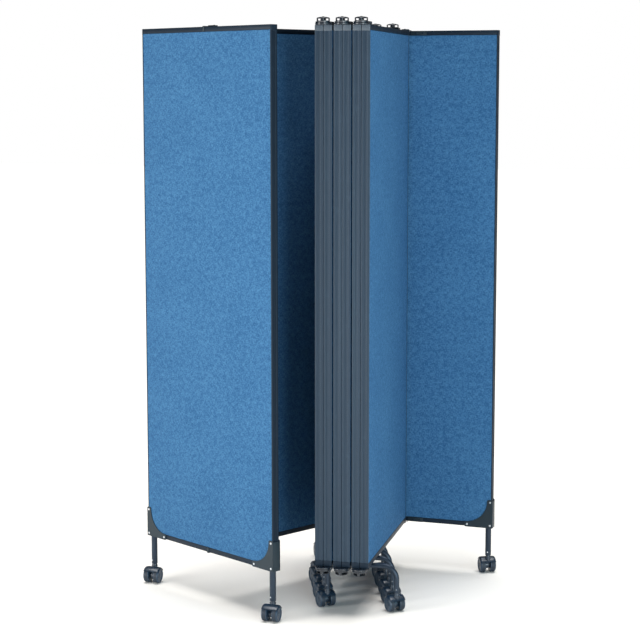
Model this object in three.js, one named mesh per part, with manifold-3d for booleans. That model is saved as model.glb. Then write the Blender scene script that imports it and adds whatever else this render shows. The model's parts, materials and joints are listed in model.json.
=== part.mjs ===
// A folding ward privacy screen on wheels, as it stands half packed away.
// Nine fabric boards in metal frames hang on each other at pivots. Panels 3 to 8 stand folded
// flat against each other, panel 2 leads off at the back left, and panels 1 and 9 stand
// crosswise at the two ends. Millimetres, +Z up, panels folded along Y, floor at z = 0.
import * as THREE from 'three';
import { mergeVertices } from 'three/addons/utils/BufferGeometryUtils.js';
import Module from 'manifold-3d';

// Driving dimensions of the panels
const PANEL_WIDTH = 625;
const PANEL_THICK = 26;
const PANEL_TOP = 1830;
const PANEL_BOTTOM = 161;
const RAIL_HEIGHT = 15;
const STILE_WEB = 3;
const TONGUE_THICK = 16;
const TONGUE_DEPTH = 12;
const GROOVE_WIDTH = 7;
const GROOVE_DEPTH = 1.3;
const END_CAP_HEIGHT = 18;
const END_CAP_PROUD = 1;
const BOARD_SETBACK = 0.3;

// How the panels stand to each other
const PAIR_GAP = 1.5;
const NEST_GAP = 5;
const FOLD_AXIS_PAST_END = 1.5;
const LEAD_PANEL_ANGLE = 32.5;
const LEFT_TEE_ANGLE = -0.9;
const RIGHT_TEE_ANGLE = -5.7;

// Fold pivots
const FLANGE_SPACING = 9.5;
const EAR_THICK = 4.5;
const EAR_LIFT = 0.5;
const EAR_FOOT = 13;
const EAR_MARGIN = 2;
const PIN_RADIUS = 4;
const DOME_RADIUS = 20;
const DOME_WALL = 3;
const DOME_HEIGHT = 14.5;
const DOME_RING = 2;
const DOME_CROWN = 5.5;
const DOME_WINDOW = 22;

// Tee pivots between a crosswise end panel and its neighbour
const TEE_STANDOFF = 16;
const TEE_END_PAST_AXIS = 6;
const TEE_PIN_RADIUS = 3;
const TEE_PIN_LENGTH = 12;
const TEE_PLATE_LENGTH = 140;
const TEE_PLATE_THICK = 2;
const TEE_PLATE_NOTCH = 34;
const TEE_EAR_WIDTH = 22;
const TEE_STRAP_WIDTH = 8;
const TEE_SEAT_DEPTH = 0.5;
const TEE_EAR_LIFT = 0.8;
const TEE_RIVET_SHARES = [1 / 2, 5 / 6];

// Tubes, corner shoes and arched feet
const LEG_TUBE_RADIUS = 10;
const FOOT_TUBE_RADIUS = 8;
const LEG_INSET = 14;
const LEG_SOCKET = 45;
const STEM_BORE_DEPTH = 34;
const SHOE_PLATE = 2;
const SHOE_ARM = 19;
const SHOE_SIZE = 98;
const RIVET_RADIUS = 3.5;
const RIVET_PROUD = 1.2;
const RIVET_INSET = 9;
const FOOT_SPAN = 225;
const FOOT_AXIS_DROP = 14;
const FOOT_BEND_RADIUS = 42;
const FIRST_FOOT_FROM_END = 95;
const FOOT_STEP = 91;
const SADDLE_LENGTH = 60;
const SADDLE_WIDTH = 22;

// Twin-wheel casters
const WHEEL_RADIUS = 25;
const WHEEL_PAIR_WIDTH = 54;
const WHEEL_INNER_GAP = 17;
const AXLE_RADIUS = 3;
const CASTER_TRAIL = 14;
const CASTER_NECK = 12;
const HOOD_WALL = 2.4;
const HOOD_WEB = 15;
const HOOD_BOSS_RADIUS = 8.2;
const HOOD_HUB_RADIUS = 12;
const HOOD_START = 40;
const HOOD_END = 150;
const STEM_RADIUS = 4.2;
const STEM_LENGTH = 30;
const LEFT_CASTER_ANGLE = 118;
const RIGHT_CASTER_ANGLE = 120;
const FOOT_CASTER_ANGLE = 37;
const HIDDEN_CASTER_ANGLE = 217;

// Clearances and overruns
const CLEARANCE = 0.3;
const WHEEL_CLEARANCE = 1;
const BITE = 1;
const OVERRUN = 2;

// Facets of the round shapes
const FINE_SIDES = 12;
const COARSE_SIDES = 8;
const RIVET_SIDES = 6;
const WHEEL_SIDES = 12;
const ARCH_STEPS = 18;
const TUBE_STEPS = 4;
const ARC_STEPS = 3;

// The panels in their order: 1 and 9 stand crosswise, 2 to 8 fold, and the rest hang on the fifth
const FIRST_FOLDING = 2;
const LAST_FOLDING = 8;
const MIDDLE_PANEL = 5;

const HALF_THICK = PANEL_THICK / 2;
const HALF_WIDTH = PANEL_WIDTH / 2;
const tubeEnd = 2 * WHEEL_RADIUS + CASTER_NECK;
const footAxisHeight = PANEL_BOTTOM - FOOT_AXIS_DROP;
const flangeRadius = PANEL_THICK + (PAIR_GAP + NEST_GAP - FLANGE_SPACING) / 2;
const UP = new THREE.Vector3(0, 0, 1);

const finishes = {
  fabric: { color: 0x4a80b8, roughness: 0.92, metalness: 0 },
  frame: { color: 0x4c5863, roughness: 0.5, metalness: 0.35 },
  tube: { color: 0x39434b, roughness: 0.42, metalness: 0.4 },
  bracket: { color: 0x3b4046, roughness: 0.5, metalness: 0.3 },
  housing: { color: 0x27303a, roughness: 0.4, metalness: 0 },
  wheel: { color: 0x3c4a58, roughness: 0.55, metalness: 0 },
};

const wasm = await Module();
wasm.setup();

// Solids from three.js shapes, and back

function solidOf(geometry) {
  const bare = geometry.clone();
  bare.deleteAttribute('normal');
  bare.deleteAttribute('uv');
  const merged = mergeVertices(bare, CLEARANCE / 1000);
  const corners = merged.index.array;
  const kept = [];
  for (let i = 0; i < corners.length; i += 3) {
    const [a, b, c] = corners.slice(i, i + 3);
    if (a !== b && b !== c && c !== a) kept.push(a, b, c);
  }
  const mesh = new wasm.Mesh({
    numProp: 3,
    vertProperties: merged.attributes.position.array,
    triVerts: Uint32Array.from(kept),
  });
  return new wasm.Manifold(mesh);
}

function geometryOf(solid) {
  const { vertProperties, triVerts } = solid.getMesh();
  const geometry = new THREE.BufferGeometry();
  geometry.setAttribute('position', new THREE.BufferAttribute(vertProperties, 3));
  geometry.setIndex(new THREE.BufferAttribute(triVerts, 1));
  const flat = geometry.toNonIndexed();
  flat.computeVertexNormals();
  return flat;
}

const joined = (solids) => solids.reduce((whole, solid) => whole.add(solid));

/** A box between two values on each axis, which may come in either order. */
function block([x0, x1], [y0, y1], [z0, z1]) {
  const geometry = new THREE.BoxGeometry(Math.abs(x1 - x0), Math.abs(y1 - y0), Math.abs(z1 - z0));
  geometry.translate((x0 + x1) / 2, (y0 + y1) / 2, (z0 + z1) / 2);
  return solidOf(geometry);
}

/** An upright cylinder at (x, y) between two heights. */
function post(radius, x, y, [z0, z1], sides = COARSE_SIDES) {
  const geometry = new THREE.CylinderGeometry(radius, radius, Math.abs(z1 - z0), sides);
  geometry.rotateX(Math.PI / 2);
  geometry.translate(x, y, (z0 + z1) / 2);
  return solidOf(geometry);
}

/** The corner radius of a bore whose flats clear a pin of the given radius. */
const boreRadius = (pin) => (pin + CLEARANCE) / Math.cos(Math.PI / COARSE_SIDES);

/** A cylinder along X between two values of x, at (y, z). */
function rod(radius, [x0, x1], y, z, sides = COARSE_SIDES) {
  const geometry = new THREE.CylinderGeometry(radius, radius, Math.abs(x1 - x0), sides);
  geometry.rotateZ(Math.PI / 2);
  geometry.translate((x0 + x1) / 2, y, z);
  return solidOf(geometry);
}

/** An outline in (y, z) pushed along X, centred on x = 0. */
function slab(outline, width) {
  const geometry = new THREE.ExtrudeGeometry(outline, {
    depth: width,
    bevelEnabled: false,
    curveSegments: ARC_STEPS,
  });
  geometry.translate(0, 0, -width / 2);
  geometry.rotateY(Math.PI / 2);
  geometry.rotateX(Math.PI / 2);
  return solidOf(geometry);
}

const span = (half) => [-half, half];

// A panel: a metal frame round a fabric-covered board

/** The frame without its pivots: end webs, rails, and a thinner tongue inside that holds the board. */
function frameRing() {
  const end = HALF_WIDTH;
  const whole = [PANEL_BOTTOM, PANEL_TOP];
  const bothEnds = (height) => [[PANEL_BOTTOM, PANEL_BOTTOM + height], [PANEL_TOP - height, PANEL_TOP]];
  const tongueOut = end - STILE_WEB - TONGUE_DEPTH;
  const tongueUp = RAIL_HEIGHT + TONGUE_DEPTH;
  const tongueRing = block(span(TONGUE_THICK / 2), span(end - BITE), [PANEL_BOTTOM + BITE, PANEL_TOP - BITE])
    .subtract(block(span(TONGUE_THICK), span(tongueOut), [PANEL_BOTTOM + tongueUp, PANEL_TOP - tongueUp]));
  const pieces = [tongueRing];
  for (const side of [-1, 1]) {
    const web = block(span(HALF_THICK), [side * end, side * (end - STILE_WEB)], whole);
    const grooveRise = [PANEL_BOTTOM + END_CAP_HEIGHT, PANEL_TOP - END_CAP_HEIGHT];
    const groove = block(
      span(GROOVE_WIDTH / 2),
      [side * (end + OVERRUN), side * (end - GROOVE_DEPTH)],
      grooveRise,
    );
    pieces.push(web.subtract(groove));
    for (const rise of bothEnds(END_CAP_HEIGHT)) {
      pieces.push(block(span(HALF_THICK), [side * (end + END_CAP_PROUD), side * (end - BITE)], rise));
    }
  }
  for (const rise of bothEnds(RAIL_HEIGHT)) {
    pieces.push(block(span(HALF_THICK), span(end), rise));
  }
  return joined(pieces);
}

/** The board between the webs and rails, slotted all round for the frame's tongue. */
function board() {
  const end = HALF_WIDTH - STILE_WEB - CLEARANCE;
  const foot = PANEL_BOTTOM + RAIL_HEIGHT + CLEARANCE;
  const head = PANEL_TOP - RAIL_HEIGHT - CLEARANCE;
  const slotIn = TONGUE_DEPTH + CLEARANCE;
  const slotHalf = TONGUE_THICK / 2 + CLEARANCE;
  const slot = block(span(slotHalf), span(end + OVERRUN), [foot - OVERRUN, head + OVERRUN])
    .subtract(block(span(slotHalf + BITE), span(end - slotIn), [foot + slotIn, head - slotIn]));
  return block(span(HALF_THICK - BOARD_SETBACK), span(end), [foot, head]).subtract(slot);
}

// Fold pivots. Heights are counted outwards from the face of the top or bottom rail.

const foldAxisX = (gap) => HALF_THICK + gap / 2;
const foldAxisY = (end) => end * (HALF_WIDTH + FOLD_AXIS_PAST_END);
const fromRail = (rail, height) => (rail > 0 ? PANEL_TOP + height : PANEL_BOTTOM - height);
const railSpan = (rail, [low, high]) => [fromRail(rail, low), fromRail(rail, high)];
const lowerEar = [EAR_LIFT, EAR_LIFT + EAR_THICK];
const upperEar = [lowerEar[1] + CLEARANCE, lowerEar[1] + CLEARANCE + EAR_THICK];
const domeFoot = upperEar[1] + EAR_LIFT;
const domeShoulder = domeFoot + DOME_HEIGHT - DOME_CROWN;
const domeTop = domeFoot + DOME_HEIGHT;

/** A profile of (radius, height) points turned about the upright axis at (x, y). */
function turned(profile, rail, x, y) {
  const points = profile.map(([radius, height]) => new THREE.Vector2(radius, fromRail(rail, height)));
  if (rail < 0) points.reverse();
  const geometry = new THREE.LatheGeometry(points, FINE_SIDES);
  geometry.rotateX(Math.PI / 2);
  geometry.translate(x, y, 0);
  return solidOf(geometry);
}

/** The dome that heads a pivot pin: hollow, with four windows between its ribs. */
function pinDome(rail, x, y) {
  const innerRadius = DOME_RADIUS - DOME_WALL;
  const outer = turned([
    [0, domeFoot],
    [DOME_RADIUS, domeFoot],
    [DOME_RADIUS, domeShoulder],
    [DOME_RADIUS - DOME_CROWN, domeTop],
    [0, domeTop],
  ], rail, x, y);
  let dome = outer.subtract(turned([
    [0, domeFoot - OVERRUN],
    [innerRadius, domeFoot - OVERRUN],
    [innerRadius, domeShoulder],
    [0, domeShoulder],
  ], rail, x, y));
  for (const turn of [Math.PI / 4, -Math.PI / 4]) {
    const opening = new THREE.BoxGeometry(DOME_WINDOW, 3 * DOME_RADIUS, domeShoulder - domeFoot - DOME_RING);
    opening.rotateZ(turn);
    opening.translate(x, y, fromRail(rail, (domeShoulder + domeFoot + DOME_RING) / 2));
    dome = dome.subtract(solidOf(opening));
  }
  return dome;
}

/** The lower ear with its pin and dome, on the panel that carries the pin. */
function pinEar(rail, side, end, gap) {
  const x = side * foldAxisX(gap);
  const y = foldAxisY(end);
  const pad = block(
    [side * (HALF_THICK - EAR_MARGIN), side * (foldAxisX(gap) - flangeRadius + EAR_MARGIN)],
    [end * HALF_WIDTH, end * (HALF_WIDTH - flangeRadius / 2)],
    railSpan(rail, [-BITE, EAR_LIFT + BITE]),
  );
  return joined([
    post(flangeRadius, x, y, railSpan(rail, lowerEar), FINE_SIDES),
    pad,
    post(PIN_RADIUS, x, y, railSpan(rail, [EAR_LIFT + BITE, domeTop - BITE])),
    pinDome(rail, x, y),
  ]);
}

/** The upper ear, which turns on the neighbour's pin and stands on its own panel behind the flange. */
function boreEar(rail, side, end, gap) {
  const x = side * foldAxisX(gap);
  const y = foldAxisY(end);
  const across = span(HALF_THICK - EAR_MARGIN);
  const nearEdge = y - end * (flangeRadius + EAR_MARGIN);
  const farEdge = nearEdge - end * EAR_FOOT;
  const whole = joined([
    post(flangeRadius - EAR_MARGIN / 2, x, y, railSpan(rail, upperEar), FINE_SIDES),
    block(across, [farEdge, end * (HALF_WIDTH - BITE)], railSpan(rail, upperEar)),
    block(across, [farEdge, nearEdge], railSpan(rail, [-BITE, upperEar[1]])),
  ]);
  const boreRise = railSpan(rail, [upperEar[0] - OVERRUN, upperEar[1] + OVERRUN]);
  return whole.subtract(post(boreRadius(PIN_RADIUS), x, y, boreRise));
}

// Tee pivots

/** The bores in a panel's rails for a tee bracket's pins. */
function teeBores(end) {
  const y = end * (HALF_WIDTH - TEE_END_PAST_AXIS);
  const radius = boreRadius(TEE_PIN_RADIUS);
  const depth = TEE_PIN_LENGTH + CLEARANCE;
  return joined([
    post(radius, 0, y, [PANEL_TOP - depth, PANEL_TOP + OVERRUN]),
    post(radius, 0, y, [PANEL_BOTTOM - OVERRUN, PANEL_BOTTOM + depth]),
  ]);
}

/** The shallow seats that split both rails' faces at the middle, for the brackets' straps. */
function strapSeats() {
  const across = span(HALF_THICK + OVERRUN);
  const along = span(TEE_STRAP_WIDTH / 2 + CLEARANCE);
  return joined([
    block(across, along, [PANEL_TOP - TEE_SEAT_DEPTH, PANEL_TOP + OVERRUN]),
    block(across, along, [PANEL_BOTTOM - OVERRUN, PANEL_BOTTOM + TEE_SEAT_DEPTH]),
  ]);
}

/** A bracket on the middle of a crosswise panel's rail, whose face is z = 0, with the tee pivot's pin. */
function teeBracket() {
  const face = HALF_THICK + CLEARANCE;
  const outside = face + TEE_PLATE_THICK;
  const axis = HALF_THICK + TEE_STANDOFF;
  const foot = -RAIL_HEIGHT + CLEARANCE;
  const notch = TEE_PLATE_NOTCH / 2;
  const bridgeRise = [CLEARANCE, CLEARANCE + TEE_PLATE_THICK];
  const seatRise = [CLEARANCE - TEE_SEAT_DEPTH, bridgeRise[1]];
  const earRise = [TEE_EAR_LIFT, TEE_EAR_LIFT + EAR_THICK];
  const pieces = [
    block([face, outside], span(notch + BITE), bridgeRise),
    block([-outside, outside], span(TEE_STRAP_WIDTH / 2), bridgeRise),
    block([-outside, HALF_THICK - BITE], span(TEE_STRAP_WIDTH / 2), seatRise),
    block([-outside, -face], span(TEE_STRAP_WIDTH / 2), [foot, bridgeRise[1]]),
    block([face, axis], span(TEE_EAR_WIDTH / 2), earRise),
    post(TEE_EAR_WIDTH / 2, axis, 0, earRise, FINE_SIDES),
    post(TEE_PIN_RADIUS, axis, 0, [-TEE_PIN_LENGTH, TEE_EAR_LIFT + BITE]),
  ];
  for (const side of [-1, 1]) {
    pieces.push(block([face, outside], [side * notch, side * TEE_PLATE_LENGTH / 2], [foot, 0]));
    pieces.push(block([face, outside], [side * notch, side * (notch + BITE)], [foot, bridgeRise[1]]));
    for (const share of TEE_RIVET_SHARES) {
      const y = side * share * TEE_PLATE_LENGTH / 2;
      const rivetSpan = [outside - BITE, outside + RIVET_PROUD];
      pieces.push(rod(RIVET_RADIUS, rivetSpan, y, -RAIL_HEIGHT / 2, RIVET_SIDES));
    }
  }
  return joined(pieces);
}

// Tubes: the end panels' legs in their corner shoes, and the arched feet

const stemBoreRise = [tubeEnd - OVERRUN, tubeEnd + STEM_BORE_DEPTH];
const stemBore = (x, y) => post(boreRadius(STEM_RADIUS), x, y, stemBoreRise);

const legAxis = (end) => end * (HALF_WIDTH - LEG_INSET);

/** The room that a leg's tube takes inside a panel, for the frame and the board. */
function legSocket(end) {
  const top = PANEL_BOTTOM + LEG_SOCKET + CLEARANCE;
  return post(LEG_TUBE_RADIUS + CLEARANCE, 0, legAxis(end), [PANEL_BOTTOM - OVERRUN, top], FINE_SIDES);
}

/** A shoe's side view in (y, z) for the end y = +HALF_WIDTH: two arms joined by a hollow arc. */
function shoeOutline() {
  const out = HALF_WIDTH + END_CAP_PROUD + CLEARANCE + SHOE_PLATE;
  const low = PANEL_BOTTOM - CLEARANCE - SHOE_PLATE;
  const hollow = SHOE_SIZE - SHOE_ARM;
  const outline = new THREE.Shape();
  outline.moveTo(out, low);
  outline.lineTo(out, low + SHOE_SIZE);
  outline.lineTo(out - SHOE_ARM, low + SHOE_SIZE);
  outline.absarc(out - SHOE_SIZE, low + SHOE_SIZE, hollow, 0, -Math.PI / 2, true);
  outline.lineTo(out - SHOE_SIZE, low);
  return outline;
}

function rivetPlaces() {
  const out = HALF_WIDTH + END_CAP_PROUD + CLEARANCE + SHOE_PLATE;
  const low = PANEL_BOTTOM - CLEARANCE - SHOE_PLATE;
  return [
    [out - RIVET_INSET, low + RIVET_INSET],
    [out - RIVET_INSET, low + SHOE_SIZE - RIVET_INSET],
    [out - SHOE_SIZE + RIVET_INSET, low + RIVET_INSET],
  ];
}

/** A leg for the end y = +HALF_WIDTH: the tube, and the folded corner shoe that wraps the panel's corner. */
function legWithShoe() {
  const half = HALF_THICK + CLEARANCE + SHOE_PLATE;
  const panel = block(
    span(HALF_THICK + CLEARANCE),
    [HALF_WIDTH + END_CAP_PROUD + CLEARANCE, HALF_WIDTH - 2 * SHOE_SIZE],
    [PANEL_BOTTOM - CLEARANCE, PANEL_BOTTOM + 2 * SHOE_SIZE],
  );
  const shoe = slab(shoeOutline(), 2 * half).subtract(panel);
  const rivets = rivetPlaces().flatMap(([y, z]) => [-1, 1].map((face) => rod(
    RIVET_RADIUS,
    [face * (half - BITE), face * (half + RIVET_PROUD)],
    y,
    z,
    RIVET_SIDES,
  )));
  const tube = post(LEG_TUBE_RADIUS, 0, legAxis(1), [tubeEnd, PANEL_BOTTOM + LEG_SOCKET], FINE_SIDES);
  return joined([shoe, tube, ...rivets]).subtract(stemBore(0, legAxis(1)));
}

/** The centre line of an arched foot in the plane y = 0: up, a bend, across, a bend and down. */
class ArchCurve extends THREE.Curve {
  getPoint(t, target = new THREE.Vector3()) {
    const rise = footAxisHeight - FOOT_BEND_RADIUS - tubeEnd;
    const bend = (Math.PI / 2) * FOOT_BEND_RADIUS;
    const reach = FOOT_SPAN / 2 - FOOT_BEND_RADIUS;
    const half = rise + bend + reach;
    const fromMiddle = Math.abs(t - 1 / 2) * 2 * half;
    const side = t < 1 / 2 ? -1 : 1;
    if (fromMiddle < reach) return target.set(side * fromMiddle, 0, footAxisHeight);
    if (fromMiddle > reach + bend) {
      return target.set(side * FOOT_SPAN / 2, 0, tubeEnd + half - fromMiddle);
    }
    const angle = (fromMiddle - reach) / FOOT_BEND_RADIUS;
    const x = reach + FOOT_BEND_RADIUS * Math.sin(angle);
    return target.set(side * x, 0, footAxisHeight - FOOT_BEND_RADIUS * (1 - Math.cos(angle)));
  }
}

/** An arched foot: a tube bent down at both ends, and a saddle that carries the panel. */
function archedFoot() {
  const section = new THREE.Shape();
  section.absarc(0, 0, FOOT_TUBE_RADIUS, 0, 2 * Math.PI, false);
  const tube = new THREE.ExtrudeGeometry(section, {
    steps: ARCH_STEPS,
    curveSegments: TUBE_STEPS,
    bevelEnabled: false,
    extrudePath: new ArchCurve(),
  });
  const saddleRise = [footAxisHeight, PANEL_BOTTOM - CLEARANCE];
  const saddle = block(span(SADDLE_WIDTH / 2), span(SADDLE_LENGTH / 2), saddleRise);
  return joined([solidOf(tube), saddle])
    .subtract(stemBore(-FOOT_SPAN / 2, 0))
    .subtract(stemBore(FOOT_SPAN / 2, 0));
}

// Casters. The swivel axis is the local Z axis, and the wheels trail towards +Y.

const wheelCorner = WHEEL_RADIUS / Math.cos(Math.PI / WHEEL_SIDES);

function wheelPair() {
  const half = WHEEL_PAIR_WIDTH / 2;
  const inner = WHEEL_INNER_GAP / 2;
  const wheel = [
    [AXLE_RADIUS, inner],
    [wheelCorner, inner],
    [wheelCorner, half],
    [0, half],
  ];
  const mirrored = [...wheel].reverse().map(([r, x]) => [r, -x]);
  const outline = [...mirrored, ...wheel].map(([r, x]) => new THREE.Vector2(r, x));
  const geometry = new THREE.LatheGeometry(outline, WHEEL_SIDES, Math.PI / WHEEL_SIDES);
  geometry.rotateZ(Math.PI / 2);
  geometry.translate(0, CASTER_TRAIL, WHEEL_RADIUS);
  return solidOf(geometry);
}

function casterHousing() {
  const inner = wheelCorner + WHEEL_CLEARANCE;
  const outer = inner + HOOD_WALL;
  const from = THREE.MathUtils.degToRad(HOOD_START);
  const to = THREE.MathUtils.degToRad(HOOD_END);
  const hoodOutline = new THREE.Shape();
  hoodOutline.absarc(CASTER_TRAIL, WHEEL_RADIUS, outer, from, to, false);
  hoodOutline.absarc(CASTER_TRAIL, WHEEL_RADIUS, inner, to, from, true);
  const webOutline = new THREE.Shape();
  webOutline.moveTo(CASTER_TRAIL + HOOD_HUB_RADIUS, WHEEL_RADIUS);
  webOutline.absarc(CASTER_TRAIL, WHEEL_RADIUS, inner + HOOD_WALL / 2, from, to, false);
  webOutline.absarc(CASTER_TRAIL, WHEEL_RADIUS, HOOD_HUB_RADIUS, Math.PI, 2 * Math.PI, false);
  const bossRise = [WHEEL_RADIUS + HOOD_HUB_RADIUS, tubeEnd - CLEARANCE];
  const axleBore = rod(boreRadius(AXLE_RADIUS), span(HOOD_WEB), CASTER_TRAIL, WHEEL_RADIUS);
  return joined([
    slab(hoodOutline, WHEEL_PAIR_WIDTH),
    slab(webOutline, HOOD_WEB).subtract(axleBore),
    post(HOOD_BOSS_RADIUS, 0, 0, bossRise),
    post(STEM_RADIUS, 0, 0, [bossRise[1] - BITE, bossRise[1] + STEM_LENGTH]),
  ]);
}

// The assembly

function named(name, solid, finish) {
  const mesh = new THREE.Mesh(geometryOf(solid), new THREE.MeshStandardMaterial(finishes[finish]));
  mesh.name = name;
  return mesh;
}

/** A caster under a tube's end; the angle turns its trail away from +Y. */
function caster(name, x, y, angle) {
  const swivel = new THREE.Group();
  swivel.position.set(x, y, 0);
  swivel.rotateOnAxis(UP, THREE.MathUtils.degToRad(angle));
  swivel.add(named(`${name}_housing`, casterHousing(), 'housing'));
  swivel.add(named(`${name}_wheels`, wheelPair(), 'wheel'));
  return swivel;
}

/** A panel's frame and board, with what is joined to the frame and what is cut from both. */
function panel(number, joins, cuts) {
  const cut = (solid) => cuts.reduce((left, tool) => left.subtract(tool), solid);
  const group = new THREE.Group();
  group.add(named(`panel_${number}_frame`, cut(joined([frameRing(), ...joins])), 'frame'));
  group.add(named(`panel_${number}_board`, cut(board()), 'fabric'));
  return group;
}

/** The two ears, at the head and the foot, of one of a panel's fold pivots. */
const ears = (make, side, end, gap) => [-1, 1].map((rail) => make(rail, side, end, gap));

/** Panels 2 to 8: the pivot towards the next panel has the pin, the one towards the last has the bore. */
function foldingPanel(number) {
  const pinEnd = number % 2 === 0 ? 1 : -1;
  const pinGap = number % 2 === 0 ? NEST_GAP : PAIR_GAP;
  const boreGap = number % 2 === 0 ? PAIR_GAP : NEST_GAP;
  const joins = [];
  const cuts = [];
  if (number < LAST_FOLDING) joins.push(...ears(pinEar, 1, pinEnd, pinGap));
  else cuts.push(teeBores(pinEnd));
  if (number > FIRST_FOLDING) joins.push(...ears(boreEar, -1, -pinEnd, boreGap));
  else cuts.push(teeBores(-pinEnd));
  const group = panel(number, joins, cuts);
  if (number > FIRST_FOLDING && number < LAST_FOLDING) addFoot(group, number);
  return group;
}

/** The arched foot and its two casters; each foot stands a step nearer the front than the last. */
function addFoot(group, number) {
  const steps = LAST_FOLDING - 1 - number;
  const y = FIRST_FOOT_FROM_END + steps * FOOT_STEP - HALF_WIDTH;
  const foot = named(`panel_${number}_foot`, archedFoot(), 'tube');
  foot.position.set(0, y, 0);
  group.add(foot);
  const leftAngle = number === FIRST_FOLDING + 1 ? HIDDEN_CASTER_ANGLE : FOOT_CASTER_ANGLE;
  group.add(caster(`caster_panel_${number}_left`, -FOOT_SPAN / 2, y, leftAngle));
  group.add(caster(`caster_panel_${number}_right`, FOOT_SPAN / 2, y, FOOT_CASTER_ANGLE));
}

/** A crosswise end panel with its legs, casters and tee brackets; its local +X faces the stack. */
function endPanel(number, casterAngle, sides) {
  const group = panel(number, [], [legSocket(-1), legSocket(1), strapSeats()]);
  const head = named(`panel_${number}_tee_bracket_top`, teeBracket(), 'bracket');
  head.position.z = PANEL_TOP;
  const foot = named(`panel_${number}_tee_bracket_bottom`, teeBracket(), 'bracket');
  foot.position.z = PANEL_BOTTOM;
  foot.rotation.x = Math.PI;
  group.add(head, foot);
  for (const [place, end] of sides) {
    const leg = named(`panel_${number}_leg_${place}`, legWithShoe(), 'tube');
    leg.rotation.z = end > 0 ? 0 : Math.PI;
    group.add(leg, caster(`caster_panel_${number}_${place}`, 0, legAxis(end), casterAngle));
  }
  return group;
}

function pivotAt(parent, x, y, angle) {
  const pivot = new THREE.Group();
  pivot.position.set(x, y, 0);
  pivot.rotateOnAxis(UP, THREE.MathUtils.degToRad(angle));
  parent.add(pivot);
  return pivot;
}

/** Hangs a panel on the parent's left (-1) or right (+1) at the fold pivot of one end, opened by an angle. */
function hangFold(child, parent, side, end, gap, angle) {
  const pivot = pivotAt(parent, side * foldAxisX(gap), foldAxisY(end), angle);
  child.position.set(side * foldAxisX(gap), -foldAxisY(end), 0);
  pivot.add(child);
}

/** Hangs a crosswise end panel on the parent's end, square to it when the angle is zero. */
function hangTee(child, parent, end, angle) {
  const pivot = pivotAt(parent, 0, end * (HALF_WIDTH - TEE_END_PAST_AXIS), angle);
  child.position.set(0, end * (TEE_STANDOFF + HALF_THICK), 0);
  child.rotation.z = -end * Math.PI / 2;
  pivot.add(child);
}

const folding = {};
for (let number = FIRST_FOLDING; number <= LAST_FOLDING; number += 1) folding[number] = foldingPanel(number);

for (let number = MIDDLE_PANEL + 1; number <= LAST_FOLDING; number += 1) {
  const atBack = number % 2 === 1;
  hangFold(folding[number], folding[number - 1], 1, atBack ? 1 : -1, atBack ? NEST_GAP : PAIR_GAP, 0);
}
for (let number = MIDDLE_PANEL - 1; number >= FIRST_FOLDING; number -= 1) {
  const atBack = number % 2 === 0;
  const angle = number === FIRST_FOLDING ? -LEAD_PANEL_ANGLE : 0;
  hangFold(folding[number], folding[number + 1], -1, atBack ? 1 : -1, atBack ? NEST_GAP : PAIR_GAP, angle);
}

const leftPanel = endPanel(1, LEFT_CASTER_ANGLE, [['left', 1], ['right', -1]]);
const rightPanel = endPanel(9, RIGHT_CASTER_ANGLE, [['left', -1], ['right', 1]]);
hangTee(leftPanel, folding[FIRST_FOLDING], -1, LEFT_TEE_ANGLE);
hangTee(rightPanel, folding[LAST_FOLDING], 1, RIGHT_TEE_ANGLE);

const screen = new THREE.Group();
screen.add(folding[MIDDLE_PANEL]);
screen.updateMatrixWorld(true);

// The origin is on the floor, under the middle of the screen's bounding box.
const bounds = new THREE.Box3().setFromObject(screen, true);
const middle = bounds.getCenter(new THREE.Vector3());
folding[MIDDLE_PANEL].position.set(-middle.x, -middle.y, 0);

export default screen;
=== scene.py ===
"""A folding ward privacy screen on wheels: the looks of every piece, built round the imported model.

Each panel has its own local axes: X through its thickness, Y along its width, Z up from the floor.
Pieces are shaped there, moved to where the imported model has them, and ride on its bodies.
"""

import json
import logging
import math
from dataclasses import dataclass, field
from enum import Enum

import bmesh
import bpy
from mathutils import Matrix, Vector

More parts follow.
